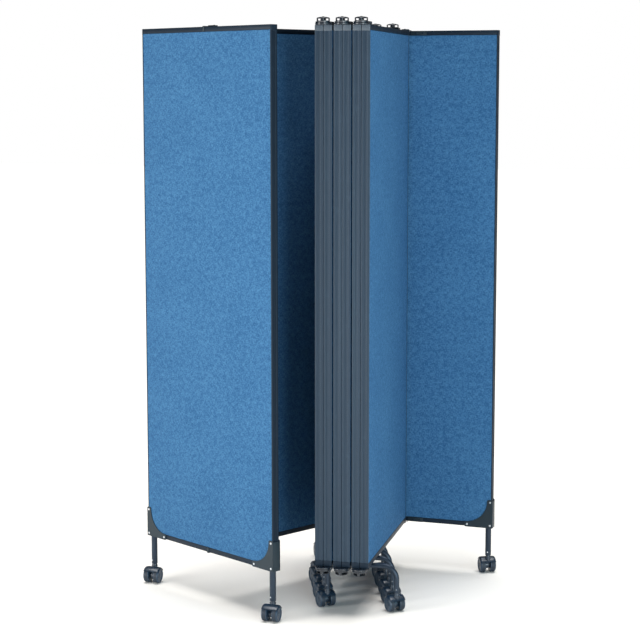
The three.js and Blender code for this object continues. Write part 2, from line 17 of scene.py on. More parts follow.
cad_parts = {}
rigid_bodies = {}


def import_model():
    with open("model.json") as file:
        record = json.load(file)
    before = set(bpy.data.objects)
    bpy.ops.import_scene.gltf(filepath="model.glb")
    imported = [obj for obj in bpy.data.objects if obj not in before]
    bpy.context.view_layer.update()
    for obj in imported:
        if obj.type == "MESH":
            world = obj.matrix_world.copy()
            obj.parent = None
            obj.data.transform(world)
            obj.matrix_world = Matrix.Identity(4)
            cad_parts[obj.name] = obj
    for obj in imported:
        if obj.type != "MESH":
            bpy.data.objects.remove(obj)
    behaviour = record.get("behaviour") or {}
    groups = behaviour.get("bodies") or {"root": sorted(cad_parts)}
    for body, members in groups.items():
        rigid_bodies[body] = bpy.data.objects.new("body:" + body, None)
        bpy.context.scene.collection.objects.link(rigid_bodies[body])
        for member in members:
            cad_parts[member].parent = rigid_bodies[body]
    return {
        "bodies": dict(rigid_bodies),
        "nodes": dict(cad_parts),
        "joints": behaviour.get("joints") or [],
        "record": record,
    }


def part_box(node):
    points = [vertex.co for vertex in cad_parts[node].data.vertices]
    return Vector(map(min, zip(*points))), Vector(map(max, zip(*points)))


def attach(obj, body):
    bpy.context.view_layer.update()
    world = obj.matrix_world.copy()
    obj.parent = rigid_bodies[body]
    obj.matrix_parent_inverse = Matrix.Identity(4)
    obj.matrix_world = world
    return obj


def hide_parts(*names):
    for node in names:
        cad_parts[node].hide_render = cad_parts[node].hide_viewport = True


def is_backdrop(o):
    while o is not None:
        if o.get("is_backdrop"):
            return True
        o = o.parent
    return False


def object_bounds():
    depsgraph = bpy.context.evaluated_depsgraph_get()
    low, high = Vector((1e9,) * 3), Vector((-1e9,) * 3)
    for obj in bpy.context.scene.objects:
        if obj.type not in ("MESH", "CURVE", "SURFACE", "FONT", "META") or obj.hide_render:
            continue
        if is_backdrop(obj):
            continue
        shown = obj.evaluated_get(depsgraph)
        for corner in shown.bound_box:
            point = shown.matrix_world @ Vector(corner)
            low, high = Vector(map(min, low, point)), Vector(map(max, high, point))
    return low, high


LOG = logging.getLogger("ward_screen")
Colour = tuple[float, float, float]
Point = Vector | tuple[float, float, float]
MM = 0.001
UP = Vector((0.0, 0.0, 1.0))
AXIS_X = Vector((1.0, 0.0, 0.0))
AXIS_Y = Vector((0.0, 1.0, 0.0))
SIDES = (-1, 1)
WELD = 0.001 * MM
HEAD_SINK = 0.5 * MM
HEAD_ROUNDING = 0.75
SMOOTH_BELOW = math.radians(38)
FULL_TURN = 2 * math.pi


class Rail(Enum):
    """The two long ends of a panel, and which way is outwards there."""

    TOP = 1
    BOTTOM = -1


class End(Enum):
    """The two upright ends of a panel."""

    FRONT = -1
    BACK = 1


# Sizes


@dataclass(frozen=True)
class PanelSizes:
    """The sizes that all nine panels share, in metres."""

    width: float = 625 * MM
    thick: float = 26 * MM
    top: float = 1830 * MM
    bottom: float = 161 * MM
    rail_height: float = 15 * MM
    stile_web: float = 3 * MM
    groove_width: float = 7 * MM
    groove_depth: float = 1.3 * MM
    lip: float = 1.6 * MM
    cap_height: float = 18 * MM
    cap_proud: float = 1 * MM
    board_setback: float = 0.3 * MM
    clearance: float = 0.3 * MM
    rail_step: float = 0.3 * MM
    profile_edge: float = 0.5 * MM
    rail_edge: float = 0.5 * MM
    lip_edge: float = 0.6 * MM
    cap_edge: float = 1.2 * MM
    board_edge: float = 1.8 * MM
    weave_shift: float = 0.37

    @property
    def half_width(self) -> float:
        """Half of the panel's width."""
        return self.width / 2

    @property
    def half_thick(self) -> float:
        """Half of the panel's thickness."""
        return self.thick / 2

    @property
    def cheek(self) -> float:
        """How far from the panel's middle a plate on its face begins."""
        return self.half_thick + self.clearance

    def rail_face(self, rail: Rail, height: float) -> float:
        """The z of a height that is counted outwards from a rail's outer face."""
        return self.top + height if rail is Rail.TOP else self.bottom - height


@dataclass(frozen=True)
class FoldSizes:
    """The sizes of a fold pivot: two stacked round ears under a windowed dome."""

    pair_gap: float = 1.5 * MM
    nest_gap: float = 5 * MM
    past_end: float = 1.5 * MM
    flange_radius: float = 24.5 * MM
    ear_thick: float = 4.5 * MM
    ear_lift: float = 0.5 * MM
    ear_foot: float = 13 * MM
    ear_margin: float = 2 * MM
    play: float = 0.3 * MM
    pin_radius: float = 4 * MM
    dome_radius: float = 20 * MM
    dome_wall: float = 3 * MM
    dome_height: float = 14.5 * MM
    dome_ring: float = 2 * MM
    dome_crown: float = 5.5 * MM
    crown_steps: int = 10
    knob_radius: float = 3.5 * MM
    knob_height: float = 1 * MM
    knob_rounding: float = 0.6
    dome_edge: float = 0.6 * MM
    rib_angle: float = math.radians(24)
    rib_setback: float = 0.1 * MM
    ear_edge: float = 0.8 * MM
    pad_edge: float = 0.3 * MM
    bore_ear_inset: float = 1 * MM
    sink: float = 0.5 * MM

    @property
    def upper_ear(self) -> float:
        """The height of the upper ear's underside over the rail."""
        return self.ear_lift + self.ear_thick + self.play

    @property
    def dome_foot(self) -> float:
        """The height of the dome's underside over the rail."""
        return self.upper_ear + self.ear_thick + self.ear_lift


@dataclass(frozen=True)
class TeeSizes:
    """The sizes of a tee bracket on a crosswise panel's rail."""

    standoff: float = 16 * MM
    pin_radius: float = 3 * MM
    pin_length: float = 12 * MM
    plate_length: float = 140 * MM
    plate_thick: float = 2 * MM
    plate_notch: float = 34 * MM
    ear_width: float = 22 * MM
    strap_width: float = 8 * MM
    ear_lift: float = 0.8 * MM
    bend: float = 1 * MM
    bend_edge: float = 0.2 * MM
    plate_edge: float = 0.6 * MM
    pin_tip: float = 0.5 * MM
    pin_head: float = 1.2 * MM
    head_edge: float = 0.8 * MM
    rivet_shares: tuple[float, ...] = (1 / 2, 5 / 6)


@dataclass(frozen=True)
class LegSizes:
    """The sizes of the tubes, the corner shoes and the arched feet, with their screws."""

    tube_radius: float = 10 * MM
    foot_radius: float = 8 * MM
    tube_end: float = 62 * MM
    inset: float = 14 * MM
    socket: float = 45 * MM
    plate: float = 2 * MM
    arm: float = 19 * MM
    shoe: float = 98 * MM
    rivet_radius: float = 3.5 * MM
    rivet_proud: float = 1.2 * MM
    rivet_inset: float = 9 * MM
    screw_radius: float = 2.6 * MM
    screw_height: float = 12 * MM
    saddle_screw: float = 3.15 * MM
    foot_span: float = 225 * MM
    foot_drop: float = 14 * MM
    bend_radius: float = 42 * MM
    saddle_length: float = 60 * MM
    saddle_width: float = 22 * MM
    saddle_cheek: float = 10.4 * MM
    saddle_foot: float = 1.6 * MM
    saddle_edge: float = 1.5 * MM
    plate_edge: float = 0.5 * MM
    shoe_round: float = 5 * MM
    hollow_margin: float = 6 * MM
    fold_inset: float = 0.4 * MM
    wrap_inset: float = 0.2 * MM
    tube_edge: float = 0.6 * MM
    collar_wall: float = 1.4 * MM
    collar_below: float = 3 * MM
    collar_above: float = 1 * MM
    collar_edge: float = 0.8 * MM
    screw_sink: float = 0.4 * MM


@dataclass(frozen=True)
class CasterSizes:
    """The sizes of a twin-wheel caster; its wheels trail towards local +Y."""

    wheel_radius: float = 25 * MM
    pair_width: float = 54 * MM
    inner_gap: float = 17 * MM
    shoulder: float = 4.5 * MM
    trail: float = 14 * MM
    hood_inner: float = 25.9 * MM
    hood_outer: float = 28.9 * MM
    hood_under: tuple[tuple[float, float], ...] = (
        (0.0, 6 * MM), (0.4 * MM, 3 * MM), (1.7 * MM, 0.6 * MM))
    hood_over: tuple[tuple[float, float], ...] = (
        (3.9 * MM, 0.0), (2.1 * MM, 1.3 * MM), (0.9 * MM, 4 * MM), (0.2 * MM, 9 * MM))
    tread: float = 0.5 * MM
    hood_from: float = math.radians(40)
    hood_to: float = math.radians(150)
    web_width: float = 15 * MM
    hub_radius: float = 12 * MM
    hub_edge: float = 0.6 * MM
    spine_radius: float = 4 * MM
    spine_rise: float = 0.8 * MM
    boss_radius: float = 8.2 * MM
    boss_gap: float = 0.3 * MM
    boss_edge: float = 0.8 * MM
    neck_radius: float = 10 * MM
    neck_sink: float = 2 * MM
    neck_gap: float = 4.2 * MM
    neck_edge: float = 2.2 * MM
    axle_radius: float = 3 * MM
    inner_edge: float = 1.5 * MM
    dish_steps: tuple[tuple[float, float], ...] = (
        (2.2 * MM, 0.0), (0.8 * MM, -1.6 * MM), (9.5 * MM, 0.0), (0.6 * MM, 1.2 * MM))
    band_depth: float = 1.5 * MM
    band_inset: float = 2.5 * MM
    band_margin: float = 0.5 * MM


PANEL = PanelSizes()
FOLD = FoldSizes()
TEE = TeeSizes()


# Shader maths


@dataclass(frozen=True)
class Grain:
    """A noise pattern: cells a metre, finer octaves, their strength and a stretch on each axis."""

    scale: float
    detail: float = 2.0
    roughness: float = 0.5
    stretch: tuple[float, float, float] = (1.0, 1.0, 1.0)


class Signal:
    """A socket's value in a shader, on which Python's operators add Math nodes."""

    def __init__(self, bench: "NodeBench", socket: bpy.types.NodeSocket) -> None:
        """Holds a socket of the bench's node tree."""
        self.bench = bench
        self.socket = socket

    def _math(self, operation: str, first: object, second: object) -> "Signal":
        """Adds a Math node over two values."""
        return self.bench.node("ShaderNodeMath", {"operation": operation}, {0: first, 1: second})

    def __add__(self, other: object) -> "Signal":
        """self + other."""
        return self._math("ADD", self, other)

    def __radd__(self, other: object) -> "Signal":
        """other + self."""
        return self._math("ADD", other, self)

    def __sub__(self, other: object) -> "Signal":
        """self - other."""
        return self._math("SUBTRACT", self, other)

    def __rsub__(self, other: object) -> "Signal":
        """other - self."""
        return self._math("SUBTRACT", other, self)

    def __mul__(self, other: object) -> "Signal":
        """self * other."""
        return self._math("MULTIPLY", self, other)

    def __rmul__(self, other: object) -> "Signal":
        """other * self."""
        return self._math("MULTIPLY", other, self)

    def sine(self) -> "Signal":
        """The sine of the value, in radians."""
        return self._math("SINE", self, 0.0)

    def size(self) -> "Signal":
        """The value without its sign."""
        return self._math("ABSOLUTE", self, 0.0)

    def between(self, low: float, high: float) -> "Signal":
        """The value's place from low, which gives 0, to high, which gives 1, clamped to these."""
        inputs = {"Value": self, "From Min": low, "From Max": high}
        return self.bench.node("ShaderNodeMapRange", {"clamp": True}, inputs)


class NodeBench:
    """A node tree under construction: nodes are added by one method and wired by value."""

    def __init__(self, tree: bpy.types.NodeTree) -> None:
        """Holds the tree that is worked on."""
        self.tree = tree

    def node(self, kind: str, settings: dict[str, object], inputs: dict[object, object],
             output: object = 0) -> Signal:
        """Adds a node.

        Args:
            kind: the node's type.
            settings: its properties, set first.
            inputs: socket names or numbers, each with a number, a colour or a Signal.
            output: the socket that the result stands for.

        Returns:
            The chosen output.
        """
        made = self.tree.nodes.new(kind)
        for name, value in settings.items():
            setattr(made, name, value)
        for key, value in inputs.items():
            self.feed(made.inputs[key], value)
        return Signal(self, made.outputs[output])

    def feed(self, socket: bpy.types.NodeSocket, value: object) -> None:
        """Links a Signal to a socket, or sets the socket's own value.

        Args:
            socket: the socket.
            value: a number, a colour or a Signal.
        """
        if isinstance(value, Signal):
            self.tree.links.new(value.socket, socket)
        else:
            socket.default_value = value

    def place(self, uv_map: str = "") -> Signal:
        """Object coordinates, or the piece's own UV map where one is named.

        Args:
            uv_map: the UV map's name.

        Returns:
            The coordinates.
        """
        if uv_map:
            return self.node("ShaderNodeUVMap", {"uv_map": uv_map}, {})
        return self.node("ShaderNodeTexCoord", {}, {}, "Object")

    def axes(self, place: Signal) -> tuple[Signal, Signal, Signal]:
        """The three parts of a vector.

        Args:
            place: the vector.

        Returns:
            Its x, y and z.
        """
        parts = self.tree.nodes.new("ShaderNodeSeparateXYZ")
        self.tree.links.new(place.socket, parts.inputs[0])
        return tuple(Signal(self, socket) for socket in parts.outputs)

    def noise(self, place: Signal, grain: Grain) -> Signal:
        """A noise field round 0.5.

        Args:
            place: the coordinates.
            grain: the pattern.

        Returns:
            The field.
        """
        if grain.stretch != (1.0, 1.0, 1.0):
            place = self.node("ShaderNodeMapping", {}, {"Vector": place, "Scale": grain.stretch})
        inputs = {"Vector": place, "Scale": grain.scale, "Detail": grain.detail,
                  "Roughness": grain.roughness}
        return self.node("ShaderNodeTexNoise", {}, inputs)

    def blend(self, share: object, first: object, second: object) -> Signal:
        """The colour that is the first at a share of 0 and the second at 1."""
        return self.node("ShaderNodeMix", {"data_type": "RGBA"}, {0: share, 6: first, 7: second}, 2)

    def bump(self, height: Signal, depth: float) -> Signal:
        """The normal of a height field, of which 1 stands as many metres high as the depth says."""
        inputs = {"Height": height, "Distance": depth, "Strength": 1.0}
        return self.node("ShaderNodeBump", {}, inputs)


class MaterialBench(NodeBench):
    """A material under construction."""

    def __init__(self, name: str) -> None:
        """Starts a material with an empty Principled shader.

        Args:
            name: the material's name.
        """
        self.material = bpy.data.materials.new(name)
        self.material.use_nodes = True
        super().__init__(self.material.node_tree)
        self.shader = self.tree.nodes["Principled BSDF"]

    def set(self, **values: object) -> bpy.types.Material:
        """Feeds the shader's sockets, whose names are written with _ for a blank.

        Args:
            **values: a constant or a Signal for each socket.

        Returns:
            The finished material.
        """
        for name, value in values.items():
            socket = name.replace("_", " ").title().replace("Ior", "IOR")
            self.feed(self.shader.inputs[socket], value)
        return self.material


def linear(colour: Colour) -> tuple[float, float, float, float]:
    """A colour picked on a screen, from 0 to 255, as linear light.

    Args:
        colour: red, green and blue.

    Returns:
        The linear colour with full alpha.
    """
    shares = [part / 255 for part in colour]
    light = [s / 12.92 if s <= 0.04045 else ((s + 0.055) / 1.055) ** 2.4 for s in shares]
    return (*light, 1.0)


# Finishes


@dataclass(frozen=True)
class HeatherFabric:
    """Woven panel fabric of mixed blue yarns; its UV map is in metres."""

    name: str
    base: Colour = (55, 99, 139)
    light: Colour = (83, 129, 165)
    dark: Colour = (31, 68, 107)
    thread: float = 1.3 * MM
    relief: float = 0.12 * MM
    roughness: float = 0.82
    gloss: float = 0.08
    slub_up: Grain = Grain(420.0, 3.0, 0.62, (1.0, 0.28, 1.0))
    slub_across: Grain = Grain(380.0, 3.0, 0.62, (0.28, 1.0, 1.0))
    cloud: Grain = Grain(62.0, 4.0, 0.6)
    patch: Grain = Grain(7.0)
    shares: tuple[float, float, float, float] = (0.38, 0.33, 0.23, 0.06)
    contrast: tuple[float, float] = (0.34, 0.66)
    dark_to_base: tuple[float, float] = (0.0, 0.55)
    base_to_light: tuple[float, float] = (0.45, 1.0)
    gap_shade: float = 0.22
    crossing: tuple[float, float] = (-0.4, 0.4)
    heights: tuple[float, float] = (0.7, 0.5)
    roughness_spread: float = 0.16

    def make(self) -> bpy.types.Material:
        """The material: yarn flecks over a plain weave.

        Returns:
            The material.
        """
        bench = MaterialBench(self.name)
        place = bench.place("weave")
        u, v, _ = bench.axes(place)
        turn = math.pi / self.thread
        warp = (u * turn).sine().size()
        weft = (v * turn).sine().size()
        slow = (u * (turn / 2)).sine() * (v * (turn / 2)).sine()
        cross = slow.between(*self.crossing)
        weave = warp * cross + weft * (1 - cross)
        cloud = bench.noise(place, self.cloud)
        up, across, middling, wide = self.shares
        upright = bench.noise(place, self.slub_up) * up
        level = bench.noise(place, self.slub_across) * across
        fleck = upright + level + cloud * middling + bench.noise(place, self.patch) * wide
        bright = fleck.between(*self.contrast)
        dark, base, light = (linear(colour) for colour in (self.dark, self.base, self.light))
        shade = bench.blend(bright.between(*self.dark_to_base), dark, base)
        colour = bench.blend(bright.between(*self.base_to_light), shade, light)
        dimmed = bench.blend((1 - weave) * self.gap_shade, colour, dark)
        normal = bench.bump(weave * self.heights[0] + fleck * self.heights[1], self.relief)
        rough = self.roughness + cloud * self.roughness_spread
        return bench.set(base_color=dimmed, roughness=rough, normal=normal,
                         specular_ior_level=self.gloss)


@dataclass(frozen=True)
class CoatedMetal:
    """A satin coat on metal, with a fine grain, faint streaks along the profile and rub marks."""

    name: str
    base: Colour
    rubbed: Colour
    roughness: float = 0.42
    metallic: float = 0.35
    streak: float = 0.25
    grain: float = 0.02 * MM
    bands: float = 0.0
    gloss: float = 0.5
    drawn: Grain = Grain(900.0, 3.0, 0.6, (1.0, 1.0, 0.012))
    peel: Grain = Grain(1400.0)
    patches: Grain = Grain(28.0, 5.0, 0.65)
    broad: Grain = Grain(210.0, stretch=(1.0, 1.0, 0.004))
    worn: tuple[float, float] = (0.56, 0.78)
    peaks: tuple[float, float] = (0.3, 0.7)
    wear: float = 0.55
    heights: tuple[float, float] = (0.6, 0.4)
    roughness_spreads: tuple[float, float] = (0.22, 0.12)

    def make(self) -> bpy.types.Material:
        """The material: a coat with orange peel, drawing streaks and wear.

        Returns:
            The material.
        """
        bench = MaterialBench(self.name)
        place = bench.place()
        streaks = bench.noise(place, self.drawn)
        peel = bench.noise(place, self.peel)
        patches = bench.noise(place, self.patches)
        broad = bench.noise(place, self.broad)
        wear = patches.between(*self.worn) * peel.between(*self.peaks)
        tone = wear * self.wear + (streaks - 0.5) * self.streak + (broad - 0.5) * self.bands
        colour = bench.blend(tone.between(0.0, 1.0), linear(self.base), linear(self.rubbed))
        broadly, finely = self.roughness_spreads
        rough = self.roughness + (patches - 0.5) * broadly + (streaks - 0.5) * finely
        normal = bench.bump(peel * self.heights[0] + streaks * self.heights[1], self.grain)
        return bench.set(base_color=colour, roughness=rough, metallic=self.metallic,
                         normal=normal, specular_ior_level=self.gloss)


@dataclass(frozen=True)
class MouldedPlastic:
    """Moulded plastic with a fine spark-eroded grain and handling marks."""

    name: str
    base: Colour
    scuffed: Colour
    roughness: float = 0.36
    grain: float = 0.03 * MM
    coat: float = 0.0
    coat_roughness: float = 0.25
    sparked: Grain = Grain(1900.0)
    smear: Grain = Grain(85.0, 4.0, 0.6)
    scuffs: Grain = Grain(320.0, 4.0, 0.7, (1.0, 1.0, 0.2))
    scuff_peaks: tuple[float, float] = (0.6, 0.82)
    smear_peaks: tuple[float, float] = (0.4, 0.7)
    roughness_spreads: tuple[float, float] = (0.3, 0.15)

    def make(self) -> bpy.types.Material:
        """The material: grain, gloss variation and scuffs.

        Returns:
            The material.
        """
        bench = MaterialBench(self.name)
        place = bench.place()
        smear = bench.noise(place, self.smear)
        scuffs = bench.noise(place, self.scuffs)
        worn = scuffs.between(*self.scuff_peaks) * smear.between(*self.smear_peaks)
        colour = bench.blend(worn, linear(self.base), linear(self.scuffed))
        smeared, scuffed = self.roughness_spreads
        rough = self.roughness + (smear - 0.5) * smeared + worn * scuffed
        normal = bench.bump(bench.noise(place, self.sparked), self.grain)
        return bench.set(base_color=colour, roughness=rough, normal=normal,
                         coat_weight=self.coat, coat_roughness=self.coat_roughness)


@dataclass(frozen=True)
class PlatedSteel:
    """Bright plated steel of rivets and screws."""

    name: str = "plated_steel"
    base: Colour = (214, 218, 222)
    stained: Colour = (150, 154, 158)
    metallic: float = 0.85
    roughness: float = 0.3
    roughness_spread: float = 0.2
    stain: Grain = Grain(420.0, 3.0, 0.6)
    turned: Grain = Grain(2600.0)
    stain_peaks: tuple[float, float] = (0.35, 0.8)
    grain: float = 0.01 * MM

    def make(self) -> bpy.types.Material:
        """The material: a turned, slightly stained plating.

        Returns:
            The material.
        """
        bench = MaterialBench(self.name)
        place = bench.place()
        stain = bench.noise(place, self.stain)
        share = stain.between(*self.stain_peaks) * 0.5
        colour = bench.blend(share, linear(self.base), linear(self.stained))
        normal = bench.bump(bench.noise(place, self.turned), self.grain)
        rough = self.roughness + stain * self.roughness_spread
        return bench.set(base_color=colour, roughness=rough, metallic=self.metallic,
                         normal=normal)


@dataclass(frozen=True)
class PaleFloor:
    """A plain pale studio floor."""

    name: str = "pale_floor"
    light: Colour = (251, 247, 241)
    dark: Colour = (247, 243, 236)
    mottle: Grain = Grain(3.0, 3.0)
    roughness: float = 0.9
    gloss: float = 0.1

    def make(self) -> bpy.types.Material:
        """The material: matt, with a barely seen mottle.

        Returns:
            The material.
        """
        bench = MaterialBench(self.name)
        mottle = bench.noise(bench.place(), self.mottle)
        colour = bench.blend(mottle, linear(self.light), linear(self.dark))
        return bench.set(base_color=colour, roughness=self.roughness,
                         specular_ior_level=self.gloss)


class Finish(Enum):
    """The finishes of the screen's pieces."""

    FABRIC = HeatherFabric("heather_fabric")
    PROFILE = CoatedMetal("slate_profile", (27, 47, 64), (57, 77, 92), 0.46, 0.3, bands=0.9)
    CAP = CoatedMetal("profile_cap", (66, 76, 86), (98, 107, 116), 0.5, 0.0, 0.1, 0.03 * MM)
    # The dark rail coat is partly painted shade: on the rails and the foot caps it darkens them for
    # their edges in shadow; on the end panels' frames and the bracket rivets it is their own dark
    # coat.
    RAIL = CoatedMetal("dark_rail", (14, 30, 44), (36, 54, 72), 0.5, 0.15, 0.2, gloss=0.25)
    TUBE = CoatedMetal("dark_tube", (30, 44, 59), (62, 83, 99), 0.34, 0.4, 0.15)
    SHOE = CoatedMetal("dark_plate", (33, 46, 54), (64, 80, 91), 0.45, 0.25, 0.1, gloss=0.35)
    PIVOT = MouldedPlastic("pivot_moulding", (17, 26, 36), (50, 66, 81), 0.26, 0.02 * MM, 0.3)
    HOUSING = MouldedPlastic("caster_moulding", (23, 39, 54), (59, 84, 106), 0.3, 0.03 * MM, 0.2)
    WHEEL = MouldedPlastic("wheel_moulding", (31, 51, 69), (65, 92, 114), 0.36, 0.05 * MM)
    TREAD = MouldedPlastic("tread_moulding", (22, 35, 48), (65, 86, 99), 0.6, 0.08 * MM)
    STEEL = PlatedSteel()
    SCREW = PlatedSteel("dull_steel", (118, 124, 130))
    FLOOR = PaleFloor()


MADE: dict[Finish, bpy.types.Material] = {}


def finish_of(choice: Finish) -> bpy.types.Material:
    """The material of a finish, made the first time it is asked for.

    Args:
        choice: the finish.

    Returns:
        The material.
    """
    if choice not in MADE:
        MADE[choice] = choice.value.make()
    return MADE[choice]


# Shaping


def link_object(name: str, data: bpy.types.ID) -> bpy.types.Object:
    """A new object in the scene.

    Args:
        name: its name.
        data: its mesh, light or camera.

    Returns:
        The object.
    """
    made = bpy.data.objects.new(name, data)
    bpy.context.scene.collection.objects.link(made)
    return made


class Workpiece:
    """A mesh on the bench, shaped by operators and handed over as a finished object."""

    def __init__(self, name: str, finish: Finish, slot: str) -> None:
        """Starts an empty mesh.

        Args:
            name: the piece's name.
            finish: its finish.
            slot: the record's material slot; it is kept but not used.
        """
        self.name = name
        self.finish = finish
        self.slot = slot
        self.mesh = bmesh.new()

    def soften(self, edges: list[bmesh.types.BMEdge], size: float, segments: int = 2) -> None:
        """Bevels edges.

        Args:
            edges: the edges.
            size: the bevel's size; at 0 they stay as they are.
            segments: the bevel's segments.
        """
        if size > 0:
            bmesh.ops.bevel(self.mesh, geom=edges, offset=size, segments=segments, profile=0.5,
                            affect="EDGES", clamp_overlap=True, material=-1)

    def block(self, low: Point, high: Point, edge: float = 0.4 * MM, segments: int = 2) -> None:
        """Adds a box between two corners, with softened edges.

        Args:
            low: one corner.
            high: the other corner.
            edge: the bevel's size.
            segments: the bevel's segments.
        """
        first, second = Vector(low), Vector(high)
        size = Vector([abs(part) for part in second - first])
        place = Matrix.Translation((first + second) / 2) @ Matrix.Diagonal((*size, 1.0))
        verts = bmesh.ops.create_cube(self.mesh, size=1.0, matrix=place)["verts"]
        self.soften(list({link for vert in verts for link in vert.link_edges}), edge, segments)

    def rod(self, radius: float, start: Vector, end: Vector, sides: int,
            edges: tuple[float, float] = (0.0, 0.0), segments: int = 3) -> None:
        """Adds a cylinder between two points, each rim rounded by its own size.

        Args:
            radius: the cylinder's radius.
            start: the middle of its first face.
            end: the middle of its last face.
            sides: its sides.
            edges: the rounding of the first and the last rim.
            segments: the rounding's segments.
        """
        along = end - start
        turn = along.to_track_quat("Z", "Y").to_matrix().to_4x4()
        place = Matrix.Translation((start + end) / 2) @ turn
        verts = bmesh.ops.create_cone(self.mesh, cap_ends=True, segments=sides, radius1=radius,
                                      radius2=radius, depth=along.length, matrix=place)["verts"]
        rims = ([], [])
        for edge in {edge for vert in verts for edge in vert.link_edges}:
            heights = [(vert.co - start).dot(along) / along.length_squared for vert in edge.verts]
            if abs(heights[0] - heights[1]) < 0.5:
                rims[round(sum(heights) / 2)].append(edge)
        for rim, size in zip(rims, edges):
            self.soften(rim, size, segments)

    def face(self, points: list[Vector]) -> bmesh.types.BMFace:
        """Adds a flat face through a few points."""
        return self.mesh.faces.new([self.mesh.verts.new(point) for point in points])

    def round_corner(self, face: bmesh.types.BMFace, corner: Vector, radius: float,
                     segments: int) -> bmesh.types.BMFace:
        """Rounds the corner of a flat face that lies nearest to a point.

        Args:
            face: the face.
            corner: where the corner is.
            radius: how far the rounding reaches along both sides.
            segments: the arc's segments.

        Returns:
            The face with its corner rounded.
        """
        vert = min(face.verts, key=lambda v: (v.co - corner).length)
        made = bmesh.ops.bevel(self.mesh, geom=[vert], offset=radius, segments=segments,
                               profile=0.5, affect="VERTICES", clamp_overlap=False, material=-1)
        return made["verts"][0].link_faces[0]

    def push(self, face: bmesh.types.BMFace, along: Vector) -> bmesh.types.BMFace:
        """Extrudes a face by a vector.

        Args:
            face: the face.
            along: how far and which way.

        Returns:
            The new end face.
        """
        made = bmesh.ops.extrude_face_region(self.mesh, geom=[face])["geom"]
        verts = [item for item in made if isinstance(item, bmesh.types.BMVert)]
        bmesh.ops.translate(self.mesh, vec=along, verts=verts)
        return next(item for item in made if isinstance(item, bmesh.types.BMFace))

    def swing(self, face: bmesh.types.BMFace, centre: Vector, axis: Vector, angle: float,
              steps: int) -> bmesh.types.BMFace:
        """Sweeps a face round an axis.

        Args:
            face: the face.
            centre: a point on the axis.
            axis: the axis.
            angle: how far, in radians.
            steps: the sweep's steps.

        Returns:
            The new end face.
        """
        made = bmesh.ops.spin(self.mesh, geom=[face], cent=centre, axis=axis, angle=angle,
                              steps=steps, use_merge=False, use_duplicate=False)["geom_last"]
        return next(item for item in made if isinstance(item, bmesh.types.BMFace))

    def sweep_ring(self, profile: list[tuple[float, float]], centre: Vector, axis: Vector,
                   radial: Vector, start: float = 0.0, angle: float = FULL_TURN,
                   steps: int = 48) -> None:
        """Adds the solid that a closed profile sweeps round an axis.

        Args:
            profile: points of (radius, distance along the axis).
            centre: the axis's zero point.
            axis: the axis.
            radial: the direction of angle zero.
            start: the first angle.
            angle: how far the profile sweeps.
            steps: the sweep's steps.
        """
        out = Matrix.Rotation(start, 3, axis) @ radial
        face = self.face([centre + out * radius + axis * along for radius, along in profile])
        if angle < FULL_TURN:
            self.swing(face, centre, axis, angle, steps)
            return
        edges = list(face.edges)
        verts = list(face.verts)
        self.mesh.faces.remove(face)
        bmesh.ops.spin(self.mesh, geom=verts + edges, cent=centre, axis=axis, angle=angle,
                       steps=steps, use_merge=True, use_duplicate=False)

    def screw(self, centre: Vector, out: Vector, radius: float, proud: float) -> None:
        """Adds a rivet or screw head that stands out of a surface."""
        rounding = (0.0, proud * HEAD_ROUNDING)
        self.rod(radius, centre - out * HEAD_SINK, centre + out * proud, 16, rounding, 3)

    def cut_uv(self, shift: float) -> None:
        """Unrolls the piece in metres onto a map named weave.

        Args:
            shift: how far the map is moved, so that no two panels match.
        """
        layer = self.mesh.loops.layers.uv.new("weave")
        self.mesh.normal_update()
        for face in self.mesh.faces:
            side = max(range(3), key=lambda axis: abs(face.normal[axis]))
            first, second = ((1, 2), (0, 2), (0, 1))[side]
            for loop in face.loops:
                point = loop.vert.co
                loop[layer].uv = (point[first] + shift, point[second] + shift * 0.5)

    def hand_over(self, place: Matrix, body: str, node: str) -> None:
        """Moves the mesh to its place and makes it an object that rides on a body.

        Args:
            place: from the local axes to the model's.
            body: the body that carries it.
            node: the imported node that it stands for.
        """
        bmesh.ops.remove_doubles(self.mesh, verts=self.mesh.verts, dist=WELD)
        bmesh.ops.recalc_face_normals(self.mesh, faces=self.mesh.faces)
        bmesh.ops.transform(self.mesh, matrix=place, verts=self.mesh.verts)
        data = bpy.data.meshes.new(self.name)
        self.mesh.to_mesh(data)
        self.mesh.free()
        data.polygons.foreach_set("use_smooth", [True] * len(data.polygons))
        data.set_sharp_from_angle(angle=SMOOTH_BELOW)
        data.materials.append(finish_of(self.finish))
        made = link_object(self.name, data)
        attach(made, body)
        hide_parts(node)
        LOG.info("%s: %d faces, rides on %s", self.name, len(data.polygons), body)


# Places


def joint_named(frame: dict, name: str) -> dict:
    """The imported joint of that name."""
    return next(joint for joint in frame["joints"] if joint["name"] == name)


def flat_angle(vector: Vector) -> float:
    """The direction of a vector seen from above, in radians."""
    return math.atan2(vector.y, vector.x)


def panel_place(frame: dict, number: int, joint: str, local: tuple[float, float]) -> Matrix:
    """From a panel's local axes to the model's.

    Args:
        frame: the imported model.
        number: the panel's number.
        joint: a joint on the panel.
        local: where that joint stands in the panel's local axes.

    Returns:
        The matrix.
    """
    low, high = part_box(f"panel_{number}_board")
    middle = (low + high) / 2
    reach = Vector(joint_named(frame, joint)["pos_m"]) - middle
    turn = flat_angle(reach) - math.atan2(local[1], local[0])
    return Matrix.Translation((middle.x, middle.y, 0.0)) @ Matrix.Rotation(turn, 4, "Z")


# Panels


